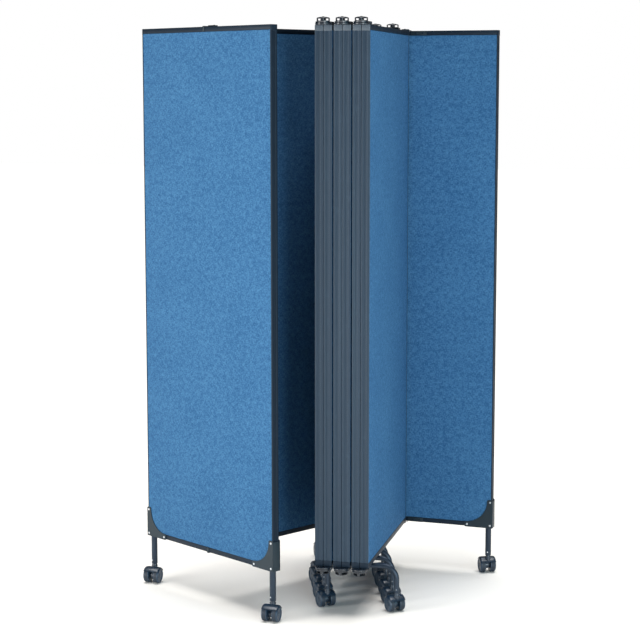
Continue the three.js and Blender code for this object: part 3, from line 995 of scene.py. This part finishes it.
@dataclass
class Panel:
    """One of the nine panels: the end profiles, rails, end caps and the fabric board."""

    number: int
    place: Matrix
    sizes: PanelSizes = field(default_factory=PanelSizes)
    profile: Finish = Finish.PROFILE
    head_cap: Finish = Finish.CAP

    @property
    def body(self) -> str:
        """The body that carries the panel."""
        return f"panel_{self.number}"

    def piece(self, part: str, finish: Finish, slot: str) -> Workpiece:
        """Starts a piece of this panel."""
        return Workpiece(f"{self.body}_{part}", finish, slot)

    def hand_over(self, work: Workpiece, node: str) -> None:
        """Hands over a piece that stands for one of the panel's nodes."""
        work.hand_over(self.place, self.body, f"{self.body}_{node}")

    def build_profiles(self) -> None:
        """The two upright end profiles, drawn with a groove in their outer faces."""
        sizes = self.sizes
        work = self.piece("end_profiles", self.profile, "frame")
        low = sizes.bottom + sizes.cap_height
        high = sizes.top - sizes.cap_height
        half, groove, deep = sizes.half_thick, sizes.groove_width / 2, sizes.groove_depth
        for end in End:
            out = end.value * sizes.half_width
            back = end.value * (sizes.half_width - sizes.stile_web)
            floor = end.value * (sizes.half_width - deep)
            outline = [(-half, back), (-half, out), (-groove, out), (-groove, floor),
                       (groove, floor), (groove, out), (half, out), (half, back)]
            face = work.face([Vector((x, y, low)) for x, y in outline])
            work.push(face, UP * (high - low))
        limit = sizes.half_width - deep / 2
        uprights = [edge for edge in work.mesh.edges
                    if abs(edge.verts[0].co.z - edge.verts[1].co.z) > sizes.rail_height
                    and abs(edge.verts[0].co.y) > limit]
        work.soften(uprights, sizes.profile_edge)
        self.hand_over(work, "frame")

    def build_rails(self) -> None:
        """The top and the bottom rail, each with a lip that covers the fabric's edge."""
        sizes = self.sizes
        # The rails' dark coat is painted shade for their edges in shadow.
        work = self.piece("rails", Finish.RAIL, "frame")
        reach = sizes.half_width - sizes.stile_web
        lip = sizes.half_thick
        core = lip - sizes.rail_step
        for rail in Rail:
            outer = sizes.rail_face(rail, 0.0)
            inner = sizes.rail_face(rail, -sizes.rail_height)
            step = sizes.rail_face(rail, -sizes.lip)
            work.block((-core, -reach, outer), (core, reach, inner), sizes.rail_edge)
            work.block((-lip, -reach, step), (lip, reach, inner), sizes.lip_edge)
        self.hand_over(work, "frame")

    def build_caps(self, rail: Rail, finish: Finish) -> None:
        """The moulded caps that close the end profiles at one rail.

        Args:
            rail: the rail.
            finish: the caps' finish.
        """
        sizes = self.sizes
        work = self.piece(f"end_caps_{rail.name.lower()}", finish, "frame")
        outer = sizes.rail_face(rail, 0.0)
        inner = sizes.rail_face(rail, -sizes.cap_height)
        for end in End:
            out = end.value * (sizes.half_width + sizes.cap_proud)
            back = end.value * (sizes.half_width - sizes.stile_web)
            work.block((-sizes.half_thick, back, outer), (sizes.half_thick, out, inner),
                       sizes.cap_edge, 3)
        self.hand_over(work, "frame")

    def build_board(self) -> None:
        """The fabric-covered board, its cover drawn tight round soft edges."""
        sizes = self.sizes
        work = self.piece("fabric_board", Finish.FABRIC, "fabric")
        reach = sizes.half_width - sizes.stile_web - sizes.clearance
        foot = sizes.bottom + sizes.rail_height + sizes.clearance
        head = sizes.top - sizes.rail_height - sizes.clearance
        half = sizes.half_thick - sizes.board_setback
        work.block((-half, -reach, foot), (half, reach, head), sizes.board_edge, 4)
        work.cut_uv(sizes.weave_shift * self.number)
        self.hand_over(work, "board")

    def build(self) -> None:
        """Builds the panel's own pieces."""
        self.build_profiles()
        self.build_rails()
        self.build_caps(Rail.TOP, self.head_cap)
        # On the folding panels the foot caps take the dark rail finish, not the head caps' finish:
        # painted shade for the shadow under the panel.
        self.build_caps(Rail.BOTTOM, Finish.RAIL)
        self.build_board()


@dataclass
class FoldPivots:
    """A panel's ears, pins and domes at its fold pivots, at the head and the foot."""

    panel: Panel
    fold: FoldSizes = field(default_factory=FoldSizes)

    def axis(self, side: int, end: End, gap: float) -> Vector:
        """Where a pivot's axis stands on the floor, for a face (+1 or -1), an end and a gap."""
        along = end.value * (self.panel.sizes.half_width + self.fold.past_end)
        return Vector((side * (self.panel.sizes.half_thick + gap / 2), along, 0.0))

    def at(self, base: Vector, rail: Rail, height: float) -> Vector:
        """The point over or under a rail on an upright axis."""
        return Vector((base.x, base.y, self.panel.sizes.rail_face(rail, height)))

    def build_pin_ears(self, end: End, gap: float) -> None:
        """The lower ears, each a round flange on a pad of the rail's end.

        Args:
            end: the end of the panel.
            gap: the gap to the neighbour.
        """
        fold, sizes = self.fold, self.panel.sizes
        work = self.panel.piece("pin_ears", Finish.PIVOT, "frame")
        base = self.axis(1, end, gap)
        pad_end = base.x - fold.flange_radius + fold.ear_margin
        near = end.value * sizes.half_width
        far = near - end.value * fold.flange_radius / 2
        for rail in Rail:
            work.rod(fold.flange_radius, self.at(base, rail, fold.ear_lift),
                     self.at(base, rail, fold.ear_lift + fold.ear_thick), 48,
                     (fold.ear_edge, fold.ear_edge))
            foot = sizes.rail_face(rail, -fold.sink)
            head = sizes.rail_face(rail, fold.ear_lift + fold.ear_margin)
            work.block((sizes.half_thick - fold.ear_margin, near, foot), (pad_end, far, head),
                       fold.pad_edge)
        self.panel.hand_over(work, "frame")

    def build_bore_ears(self, end: End, gap: float) -> None:
        """The upper ears, each a round flange carried back to a foot on its own rail.

        Args:
            end: the end of the panel.
            gap: the gap to the neighbour.
        """
        fold, sizes = self.fold, self.panel.sizes
        work = self.panel.piece("bore_ears", Finish.PIVOT, "frame")
        base = self.axis(-1, end, gap)
        across = sizes.half_thick - fold.ear_margin
        near = base.y - end.value * (fold.flange_radius + fold.ear_margin)
        far = near - end.value * fold.ear_foot
        tip = end.value * (sizes.half_width - fold.ear_margin)
        low, high = fold.upper_ear, fold.upper_ear + fold.ear_thick
        bore, rim = fold.pin_radius + fold.play, fold.flange_radius - fold.bore_ear_inset
        thick, edge = fold.ear_thick, fold.ear_edge
        ring = [(bore, 0.0), (rim - edge, 0.0), (rim, edge), (rim, thick - edge),
                (rim - edge, thick), (bore, thick)]
        inner = max(-across, base.x + bore + fold.ear_margin)
        for rail in Rail:
            work.sweep_ring(ring, self.at(base, rail, low), UP * rail.value, AXIS_X)
            work.block((-across, far, sizes.rail_face(rail, -fold.sink)),
                       (across, near, sizes.rail_face(rail, high)), edge)
            work.block((inner, far, sizes.rail_face(rail, low)),
                       (across, tip, sizes.rail_face(rail, high)), edge)
        self.panel.hand_over(work, "frame")

    def crown_profile(self, shoulder: float) -> list[tuple[float, float]]:
        """The section of a dome's crown, flat below and elliptical above.

        Args:
            shoulder: the height of the crown's widest line over the dome's foot.

        Returns:
            Points of (radius, height over the foot).
        """
        fold, steps = self.fold, self.fold.crown_steps
        radius, core, flat = fold.dome_radius, fold.knob_radius / 2, shoulder - fold.sink
        rise = fold.dome_height - fold.knob_height - shoulder
        last = math.acos(core / radius)
        turns = [last * step / steps for step in range(steps + 1)]
        return [(core, flat), (radius - fold.sink, flat)] + [
            (radius * math.cos(turn), shoulder + rise * math.sin(turn)) for turn in turns]

    def build_domes(self, end: End, gap: float) -> None:
        """The pins and their windowed domes.

        Args:
            end: the end of the panel.
            gap: the gap to the neighbour.
        """
        fold = self.fold
        work = self.panel.piece("fold_domes", Finish.PIVOT, "frame")
        base = self.axis(1, end, gap)
        radius, inner = fold.dome_radius, fold.dome_radius - fold.dome_wall
        shoulder = fold.dome_height - fold.dome_crown
        ring = [(inner, 0.0), (radius - fold.dome_edge, 0.0), (radius, fold.dome_edge),
                (radius, fold.dome_ring), (inner, fold.dome_ring)]
        low, out = fold.dome_ring / 2, radius - fold.rib_setback
        rib = [(inner, low), (out, low), (out, shoulder), (inner, shoulder)]
        for rail in Rail:
            up = UP * rail.value
            foot = self.at(base, rail, fold.dome_foot)
            work.rod(fold.pin_radius, self.at(base, rail, fold.ear_lift), foot + up * shoulder, 24)
            work.sweep_ring(ring, foot, up, AXIS_X)
            work.sweep_ring(self.crown_profile(shoulder), foot, up, AXIS_X)
            work.rod(fold.knob_radius, foot + up * shoulder, foot + up * fold.dome_height, 24,
                     (0.0, fold.knob_height * fold.knob_rounding))
            for quarter in range(4):
                start = quarter * math.pi / 2 - fold.rib_angle / 2
                work.sweep_ring(rib, foot, up, AXIS_X, start, fold.rib_angle, 6)
        self.panel.hand_over(work, "frame")

    def build(self, first: int, last: int) -> None:
        """Builds the pivots that this panel carries.

        Args:
            first: the number of the first folding panel.
            last: the number of the last folding panel.
        """
        even = self.panel.number % 2 == 0
        pin_end, bore_end = (End.BACK, End.FRONT) if even else (End.FRONT, End.BACK)
        pin_gap = self.fold.nest_gap if even else self.fold.pair_gap
        bore_gap = self.fold.pair_gap if even else self.fold.nest_gap
        if self.panel.number < last:
            self.build_pin_ears(pin_end, pin_gap)
            self.build_domes(pin_end, pin_gap)
        if self.panel.number > first:
            self.build_bore_ears(bore_end, bore_gap)


@dataclass
class ArchedFoot:
    """A bent tube under a panel, with the saddle that is screwed to the bottom rail."""

    panel: Panel
    leg: LegSizes = field(default_factory=LegSizes)

    @property
    def axis_height(self) -> float:
        """The height of the tube's axis under the panel."""
        return self.panel.sizes.bottom - self.leg.foot_drop

    @property
    def saddle_top(self) -> float:
        """The height of the saddle's upper face."""
        return self.panel.sizes.bottom - self.panel.sizes.clearance

    def _hand_over(self, work: Workpiece) -> None:
        """Moves a piece from the foot's own middle to the model's axes and hands it over.

        Args:
            work: the piece.
        """
        node = f"{self.panel.body}_foot"
        low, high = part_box(node)
        place = Matrix.Translation(((low.x + high.x) / 2, (low.y + high.y) / 2, 0.0))
        work.hand_over(place, self.panel.body, node)

    def build_tube(self) -> None:
        """The tube: up, a bend, across, a bend and down."""
        leg = self.leg
        work = self.panel.piece("foot_tube", Finish.TUBE, "tube")
        bend_at = self.axis_height - leg.bend_radius
        rise = bend_at - leg.tube_end
        half = leg.foot_span / 2
        start = Matrix.Translation((-half, 0.0, leg.tube_end))
        circle = bmesh.ops.create_circle(work.mesh, cap_ends=True, segments=28,
                                         radius=leg.foot_radius, matrix=start)["verts"]
        face = work.push(circle[0].link_faces[0], UP * rise)
        centre = Vector((-half + leg.bend_radius, 0.0, bend_at))
        face = work.swing(face, centre, AXIS_Y, math.pi / 2, 14)
        face = work.push(face, AXIS_X * (leg.foot_span - 2 * leg.bend_radius))
        centre = Vector((half - leg.bend_radius, 0.0, bend_at))
        face = work.swing(face, centre, AXIS_Y, math.pi / 2, 14)
        work.push(face, UP * -rise)
        self._hand_over(work)

    def build_saddle(self) -> None:
        """The saddle between the tube and the bottom rail."""
        leg = self.leg
        work = self.panel.piece("foot_saddle", Finish.SHOE, "tube")
        top = self.saddle_top
        wide, long = leg.saddle_width / 2, leg.saddle_length / 2
        work.block((-wide, -long, top - leg.plate), (wide, long, top), leg.plate_edge)
        work.block((-wide, -leg.saddle_cheek, self.axis_height - leg.saddle_foot),
                   (wide, leg.saddle_cheek, top - leg.plate / 2), leg.saddle_edge, 3)
        self._hand_over(work)

    def build_screws(self) -> None:
        """The screws of the saddle and the grub screws that hold the caster stems."""
        leg = self.leg
        work = self.panel.piece("foot_screws", Finish.SCREW, "tube")
        height = leg.tube_end + leg.screw_height
        for side in SIDES:
            along = side * (leg.saddle_length / 2 - leg.rivet_inset)
            spot = Vector((0.0, along, self.saddle_top - leg.plate))
            work.screw(spot, -UP, leg.saddle_screw, leg.rivet_proud)
            grub = Vector((side * leg.foot_span / 2, leg.screw_sink - leg.foot_radius, height))
            work.screw(grub, -AXIS_Y, leg.screw_radius, leg.rivet_proud)
        self._hand_over(work)

    def build(self) -> None:
        """Builds the foot."""
        self.build_tube()
        self.build_saddle()
        self.build_screws()


@dataclass
class CornerLeg:
    """A leg of a crosswise panel: a tube in a folded corner shoe."""

    panel: Panel
    side: str
    end: End
    leg: LegSizes = field(default_factory=LegSizes)

    @property
    def node(self) -> str:
        """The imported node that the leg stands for."""
        return f"{self.panel.body}_leg_{self.side}"

    def _start(self, part: str, finish: Finish) -> Workpiece:
        """Starts a piece of this leg."""
        return Workpiece(f"{self.node}_{part}", finish, "tube")

    def _hand_over(self, work: Workpiece) -> None:
        """Turns the piece to its end of the panel and hands it over."""
        turn = Matrix.Rotation(0.0 if self.end is End.BACK else math.pi, 4, "Z")
        work.hand_over(self.panel.place @ turn, self.panel.body, self.node)

    @property
    def out(self) -> float:
        """How far the shoe reaches along the panel."""
        sizes = self.panel.sizes
        return sizes.half_width + sizes.cap_proud + sizes.clearance + self.leg.plate

    @property
    def low(self) -> float:
        """The height of the shoe's underside."""
        return self.panel.sizes.bottom - self.panel.sizes.clearance - self.leg.plate

    @property
    def tube_at(self) -> float:
        """Where the tube's axis stands along the panel."""
        return self.panel.sizes.half_width - self.leg.inset

    def build_shoe(self) -> None:
        """The folded plate: a hollow-cornered cheek on each face, with the wraps that join them."""
        leg, size = self.leg, self.leg.shoe
        work = self._start("shoe", Finish.SHOE)
        face_at = self.panel.sizes.cheek
        out, low = self.out, self.low
        corners = [(out, low), (out, low + size), (out - leg.arm, low + size),
                   (out - leg.arm, low + leg.arm), (out - size, low + leg.arm), (out - size, low)]
        for side in SIDES:
            x = side * face_at
            cheek = work.face([Vector((x, *corner)) for corner in corners])
            hollow = size - leg.arm - leg.hollow_margin
            cheek = work.round_corner(cheek, Vector((x, *corners[3])), hollow, 14)
            for corner in (corners[1], corners[2], corners[4], corners[5]):
                cheek = work.round_corner(cheek, Vector((x, *corner)), leg.shoe_round, 5)
            work.push(cheek, AXIS_X * (side * leg.plate))
        reach = face_at + leg.plate - leg.fold_inset
        work.block((-reach, out - leg.plate, low + leg.wrap_inset),
                   (reach, out, low + size - leg.shoe_round), leg.plate_edge)
        work.block((-reach, out - size + leg.shoe_round, low),
                   (reach, out - leg.wrap_inset, low + leg.plate), leg.plate_edge)
        self._hand_over(work)

    def build_tube(self) -> None:
        """The leg tube with a collar where it leaves the shoe."""
        leg = self.leg
        work = self._start("tube", Finish.TUBE)
        foot = Vector((0.0, self.tube_at, leg.tube_end))
        head = Vector((0.0, self.tube_at, self.panel.sizes.bottom + leg.socket / 2))
        work.rod(leg.tube_radius, foot, head, 36, (leg.tube_edge, 0.0))
        collar = Vector((0.0, self.tube_at, self.low))
        work.rod(leg.tube_radius + leg.collar_wall, collar - UP * leg.collar_below,
                 collar + UP * leg.collar_above, 36, (leg.collar_edge, 0.0))
        self._hand_over(work)

    def build_rivets(self) -> None:
        """The three rivets of each cheek and the grub screws over the caster."""
        leg, size = self.leg, self.leg.shoe
        work = self._start("rivets", Finish.STEEL)
        face = self.panel.sizes.cheek + leg.plate
        out, low, inset = self.out, self.low, leg.rivet_inset
        spots = [(out - inset, low + inset), (out - inset, low + size - inset),
                 (out - size + inset, low + inset)]
        height = leg.tube_end + leg.screw_height
        for side in SIDES:
            for y, z in spots:
                work.screw(Vector((side * face, y, z)), AXIS_X * side, leg.rivet_radius,
                           leg.rivet_proud)
            grub = Vector((side * (leg.tube_radius - leg.screw_sink), self.tube_at, height))
            work.screw(grub, AXIS_X * side, leg.screw_radius, leg.rivet_proud)
        self._hand_over(work)

    def build(self) -> None:
        """Builds the leg."""
        self.build_shoe()
        self.build_tube()
        self.build_rivets()


@dataclass
class TeeBracket:
    """The bracket on the middle of a crosswise panel's rail that carries the neighbour's end."""

    panel: Panel
    rail: Rail
    tee: TeeSizes = field(default_factory=TeeSizes)
    leg: LegSizes = field(default_factory=LegSizes)

    @property
    def node(self) -> str:
        """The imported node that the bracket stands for."""
        return f"{self.panel.body}_tee_bracket_{self.rail.name.lower()}"

    def _point(self, x: float, y: float, height: float) -> Vector:
        """A point at a height that is counted outwards from the rail's face."""
        return Vector((x, y, self.panel.sizes.rail_face(self.rail, height)))

    def build_plates(self) -> None:
        """The wings, the bridge over the rail, the strap with its hook and the ear with its pin."""
        tee, sizes, at = self.tee, self.panel.sizes, self._point
        work = Workpiece(f"{self.node}_plates", Finish.SHOE, "bracket")
        face, outside = sizes.cheek, sizes.cheek + tee.plate_thick
        axis = sizes.half_thick + tee.standoff
        foot = -sizes.rail_height + sizes.clearance
        notch, bend = tee.plate_notch / 2, tee.plate_notch / 2 + tee.bend
        low, high = sizes.clearance, sizes.clearance + tee.plate_thick
        ear, lid = tee.ear_lift, tee.ear_lift + FOLD.ear_thick
        strap, width, edge = tee.strap_width / 2, tee.ear_width / 2, tee.plate_edge
        work.block(at(face, -bend, low), at(outside, bend, high))
        work.block(at(-outside, -strap, low), at(outside, strap, high))
        work.block(at(-outside, -strap, foot), at(-face, strap, high))
        work.block(at(face, -width, ear), at(axis, width, lid), edge)
        work.rod(width, at(axis, 0.0, ear), at(axis, 0.0, lid), 40, (edge, tee.head_edge))
        work.rod(tee.pin_radius, at(axis, 0.0, -tee.pin_length), at(axis, 0.0, lid + tee.pin_head),
                 24, (tee.pin_tip, tee.head_edge))
        for side in SIDES:
            tip = side * tee.plate_length / 2
            work.block(at(face, side * notch, foot), at(outside, tip, 0.0), edge)
            work.block(at(face, side * notch, foot), at(outside, side * bend, high), tee.bend_edge)
        work.hand_over(self.panel.place, self.panel.body, self.node)

    def build_rivets(self) -> None:
        """The blackened rivets of the wings."""
        tee, sizes = self.tee, self.panel.sizes
        work = Workpiece(f"{self.node}_rivets", Finish.RAIL, "bracket")
        outside = sizes.cheek + tee.plate_thick
        for side in SIDES:
            for share in tee.rivet_shares:
                along = side * share * tee.plate_length / 2
                spot = self._point(outside, along, -sizes.rail_height / 2)
                work.screw(spot, AXIS_X, self.leg.rivet_radius, self.leg.rivet_proud)
        work.hand_over(self.panel.place, self.panel.body, self.node)

    def build(self) -> None:
        """Builds the bracket."""
        self.build_plates()
        self.build_rivets()


@dataclass
class TwinCaster:
    """A hooded caster with two wheels on one axle."""

    name: str
    frame: dict
    sizes: CasterSizes = field(default_factory=CasterSizes)
    leg: LegSizes = field(default_factory=LegSizes)

    def _hand_over(self, work: Workpiece, carrier: str, node: str) -> None:
        """Turns the piece, whose trail lies along +Y, to the model's axes and hands it over.

        Args:
            work: the piece.
            carrier: the part of the caster that carries it, swivel or wheels.
            node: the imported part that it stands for, housing or wheels.
        """
        swivel = Vector(joint_named(self.frame, f"{self.name}_swivel")["pos_m"])
        axle = Vector(joint_named(self.frame, f"{self.name}_axle")["pos_m"])
        turn = flat_angle(axle - swivel) - math.pi / 2
        place = Matrix.Translation((swivel.x, swivel.y, 0.0)) @ Matrix.Rotation(turn, 4, "Z")
        work.hand_over(place, f"{self.name}_{carrier}", f"{self.name}_{node}")

    @property
    def hub(self) -> Vector:
        """The middle of the axle."""
        return Vector((0.0, self.sizes.trail, self.sizes.wheel_radius))

    def build_hood(self) -> None:
        """The hood over both wheels, the web between them and the neck under the tube."""
        sizes, hub = self.sizes, self.hub
        work = Workpiece(f"{self.name}_hood", Finish.HOUSING, "housing")
        web = sizes.web_width / 2
        core, crest = sizes.spine_radius, sizes.hood_inner + sizes.spine_rise
        spine = [(core, -web), (crest, -web), (crest, web), (core, web)]
        sweep = sizes.hood_to - sizes.hood_from
        for profile in (self._hood_section(), spine):
            work.sweep_ring(profile, hub, AXIS_X, AXIS_Y, sizes.hood_from, sweep, 22)
        work.rod(sizes.hub_radius, hub - AXIS_X * web, hub + AXIS_X * web, 36,
                 (sizes.hub_edge, sizes.hub_edge))
        self._add_neck(work)
        self._hand_over(work, "swivel", "housing")

    def _hood_section(self) -> list[tuple[float, float]]:
        """The hood's section: a thin wall that rounds down to both sides.

        Returns:
            Points of (radius, distance along the axle).
        """
        sizes = self.sizes
        half = sizes.pair_width / 2
        under = [(sizes.hood_inner - drop, half - inset) for drop, inset in sizes.hood_under]
        over = [(sizes.hood_outer - drop, half - inset) for drop, inset in sizes.hood_over]
        right = under + over
        return right + [(radius, -along) for radius, along in reversed(right)]

    def _add_neck(self, work: Workpiece) -> None:
        """Adds the boss that takes the stem, with a collar under the tube.

        Args:
            work: the hood.
        """
        sizes, top = self.sizes, self.leg.tube_end
        low = sizes.wheel_radius + sizes.hub_radius
        work.rod(sizes.boss_radius, UP * low, UP * (top - sizes.boss_gap), 32,
                 (0.0, sizes.boss_edge))
        ring = self.hub.z + sizes.hood_outer - sizes.neck_sink
        work.rod(sizes.neck_radius, UP * ring, UP * (top - sizes.neck_gap), 32,
                 (0.0, sizes.neck_edge), 4)

    def build_wheels(self) -> None:
        """The two wheels: rounded shoulders, a dished outer face and a hub cap."""
        sizes, hub = self.sizes, self.hub
        work = Workpiece(f"{self.name}_wheel_pair", Finish.WHEEL, "wheel")
        inner, outer = sizes.inner_gap / 2, sizes.pair_width / 2
        for side in SIDES:
            out = AXIS_X * side
            work.rod(sizes.wheel_radius - sizes.tread, hub + out * inner, hub + out * outer, 48,
                     (sizes.inner_edge, sizes.shoulder), 5)
            work.mesh.faces.ensure_lookup_table()
            cap = max(work.mesh.faces,
                      key=lambda f: (f.calc_center_median() - hub).dot(out) + f.calc_area())
            self._dish(work, cap, out)
        work.rod(sizes.axle_radius, hub - AXIS_X * inner, hub + AXIS_X * inner, 20)
        self._hand_over(work, "wheels", "wheels")

    def _dish(self, work: Workpiece, cap: bmesh.types.BMFace, out: Vector) -> None:
        """Dishes a wheel's outer face and raises a hub cap in it.

        Args:
            work: the wheels.
            cap: the flat outer face.
            out: the direction that it faces.
        """
        for thickness, depth in self.sizes.dish_steps:
            bmesh.ops.inset_region(work.mesh, faces=[cap], thickness=thickness, depth=0.0,
                                   use_even_offset=True)
            bmesh.ops.translate(work.mesh, vec=out * depth, verts=cap.verts)

    def build_treads(self) -> None:
        """The harder tread band round each wheel."""
        sizes, step = self.sizes, self.sizes.tread
        work = Workpiece(f"{self.name}_treads", Finish.TREAD, "wheel")
        inner = sizes.inner_gap / 2 + sizes.band_inset
        outer = sizes.pair_width / 2 - sizes.shoulder - sizes.band_margin
        rim, root = sizes.wheel_radius, sizes.wheel_radius - sizes.band_depth
        section = [(root, inner), (rim - step, inner), (rim, inner + step), (rim, outer - step),
                   (rim - step, outer), (root, outer)]
        for side in SIDES:
            band = [(radius, side * along) for radius, along in section]
            work.sweep_ring(band, self.hub, AXIS_X, AXIS_Y)
        self._hand_over(work, "wheels", "wheels")

    def build(self) -> None:
        """Builds the caster."""
        self.build_hood()
        self.build_wheels()
        self.build_treads()


# Studio


@dataclass(frozen=True)
class Softbox:
    """A square softbox: its name, where it hangs, its power and the colour of its light."""

    name: str
    place: tuple[float, float, float]
    watts: float
    tint: Colour = (1.0, 1.0, 1.0)
    size: float = 2.2

    def build(self, aim: Vector) -> None:
        """Hangs the softbox.

        Args:
            aim: the point that it lights.
        """
        light = bpy.data.lights.new(self.name, "AREA")
        light.size = self.size
        light.energy = self.watts
        light.color = self.tint
        lamp = link_object(self.name, light)
        lamp.location = self.place
        lamp.rotation_euler = (aim - Vector(self.place)).to_track_quat("-Z", "Y").to_euler()


@dataclass(frozen=True)
class Studio:
    """The floor, the light and the camera."""

    floor_size: float = 60.0
    floor_drop: float = 0.2 * MM
    camera_from_panel: tuple[float, float, float] = (1.2029, -5.5393, 1.6438)
    camera_towards: tuple[float, float] = (-0.2340, 0.9722)
    camera_pitch: float = math.radians(7.50)
    focal_pixels: float = 1767.0
    image_width: int = 640
    sensor: float = 36.0
    ambient: float = 0.1
    ceiling: float = 3.8
    ceiling_angle: float = math.radians(48)
    aim: tuple[float, float, float] = (0.0, 0.0, 0.8)
    softboxes: tuple[Softbox, ...] = (
        Softbox("key_softbox", (-3.6, -3.4, 1.0), 184.0),
        Softbox("front_softbox", (3.5, -5.0, 0.9), 240.0, (0.8, 0.93, 1.0)),
        Softbox("fill_softbox", (5.0, -2.5, 1.2), 46.0, (0.4, 0.8, 1.0)),
    )

    def build_floor(self) -> None:
        """The pale floor."""
        work = bmesh.new()
        bmesh.ops.create_grid(work, x_segments=1, y_segments=1, size=self.floor_size / 2)
        data = bpy.data.meshes.new("studio_floor")
        work.to_mesh(data)
        work.free()
        data.materials.append(finish_of(Finish.FLOOR))
        floor = link_object("studio_floor", data)
        floor.location.z = -self.floor_drop
        floor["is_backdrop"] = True

    def build_world(self) -> None:
        """A white backdrop all round that gives only a little light of its own."""
        world = bpy.data.worlds.new("pale_studio")
        world.use_nodes = True
        bench = NodeBench(world.node_tree)
        seen = bench.node("ShaderNodeLightPath", {}, {}, "Is Camera Ray")
        sky = world.node_tree.nodes["Background"]
        bench.feed(sky.inputs["Color"], (1.0, 1.0, 1.0, 1.0))
        bench.feed(sky.inputs["Strength"], self.ambient + seen * (1.0 - self.ambient))
        bpy.context.scene.world = world

    def build_lights(self) -> None:
        """A wide even light from above, which clears the floor, and the softboxes."""
        light = bpy.data.lights.new("ceiling_light", "SUN")
        light.energy = self.ceiling
        light.angle = self.ceiling_angle
        link_object("ceiling_light", light)
        for softbox in self.softboxes:
            softbox.build(Vector(self.aim))

    def build_camera(self) -> None:
        """The camera at the photograph's viewing angle."""
        low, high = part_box("panel_5_board")
        middle = (low + high) / 2
        data = bpy.data.cameras.new("view_camera")
        data.sensor_width = self.sensor
        data.sensor_fit = "HORIZONTAL"
        data.lens = self.sensor * self.focal_pixels / self.image_width
        camera = link_object("view_camera", data)
        offset = Vector(self.camera_from_panel)
        camera.location = (middle.x + offset.x, middle.y + offset.y, offset.z)
        ahead = Vector((*self.camera_towards, -math.tan(self.camera_pitch)))
        camera.rotation_mode = "QUATERNION"
        camera.rotation_quaternion = ahead.to_track_quat("-Z", "Y")
        bpy.context.scene.camera = camera

    def build(self) -> None:
        """Builds the studio."""
        self.build_floor()
        self.build_world()
        self.build_lights()
        self.build_camera()
        bpy.context.scene.view_settings.view_transform = "Standard"


# The screen


@dataclass
class WardScreen:
    """The whole screen: nine panels with their pivots, feet, legs, brackets and casters."""

    frame: dict
    first_folding: int = 2
    last_folding: int = 8
    ends: dict[int, str] = field(default_factory=lambda: {1: "tee_left", 9: "tee_right"})

    def place_of(self, number: int) -> Matrix:
        """From a panel's local axes to the model's.

        Args:
            number: the panel's number.

        Returns:
            The matrix.
        """
        if number in self.ends:
            local = (PANEL.half_thick + TEE.standoff, 0.0)
            return panel_place(self.frame, number, self.ends[number], local)
        even = number % 2 == 0
        along = PANEL.half_width + FOLD.past_end
        if number < self.last_folding:
            gap = FOLD.nest_gap if even else FOLD.pair_gap
            local = (PANEL.half_thick + gap / 2, along if even else -along)
            return panel_place(self.frame, number, f"fold_{number}_{number + 1}", local)
        local = (-PANEL.half_thick - FOLD.pair_gap / 2, -along)
        return panel_place(self.frame, number, f"fold_{number - 1}_{number}", local)

    def build_end_panel(self, panel: Panel) -> None:
        """Builds the legs and brackets of a crosswise panel.

        Args:
            panel: the panel.
        """
        ends = (End.BACK, End.FRONT) if panel.number == 1 else (End.FRONT, End.BACK)
        for side, end in zip(("left", "right"), ends):
            CornerLeg(panel, side, end).build()
        for rail in Rail:
            TeeBracket(panel, rail).build()

    def build(self) -> None:
        """Builds the screen, panel by panel."""
        for number in range(1, max(self.ends) + 1):
            panel = Panel(number, self.place_of(number))
            if number in self.ends:
                panel.profile = panel.head_cap = Finish.RAIL
                panel.build()
                self.build_end_panel(panel)
                continue
            panel.build()
            FoldPivots(panel).build(self.first_folding, self.last_folding)
            if self.first_folding < number < self.last_folding:
                ArchedFoot(panel).build()
        for joint in self.frame["joints"]:
            if joint["name"].endswith("_axle"):
                TwinCaster(joint["name"].removesuffix("_axle"), self.frame).build()


def corners(box: tuple[Vector, Vector]) -> list[list[float]]:
    """A box's two corners as plain lists."""
    return [list(corner) for corner in box]


def main(frame: dict) -> None:
    """Args:
        frame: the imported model.
    """
    logging.basicConfig(level=logging.INFO, format="%(message)s")
    packed = corners(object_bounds())
    WardScreen(frame).build()
    Studio().build()
    {"cad": packed, "visual": corners(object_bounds())}
    LOG.info("packed box %s", packed)


if __name__ == "__main__":
    main(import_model())
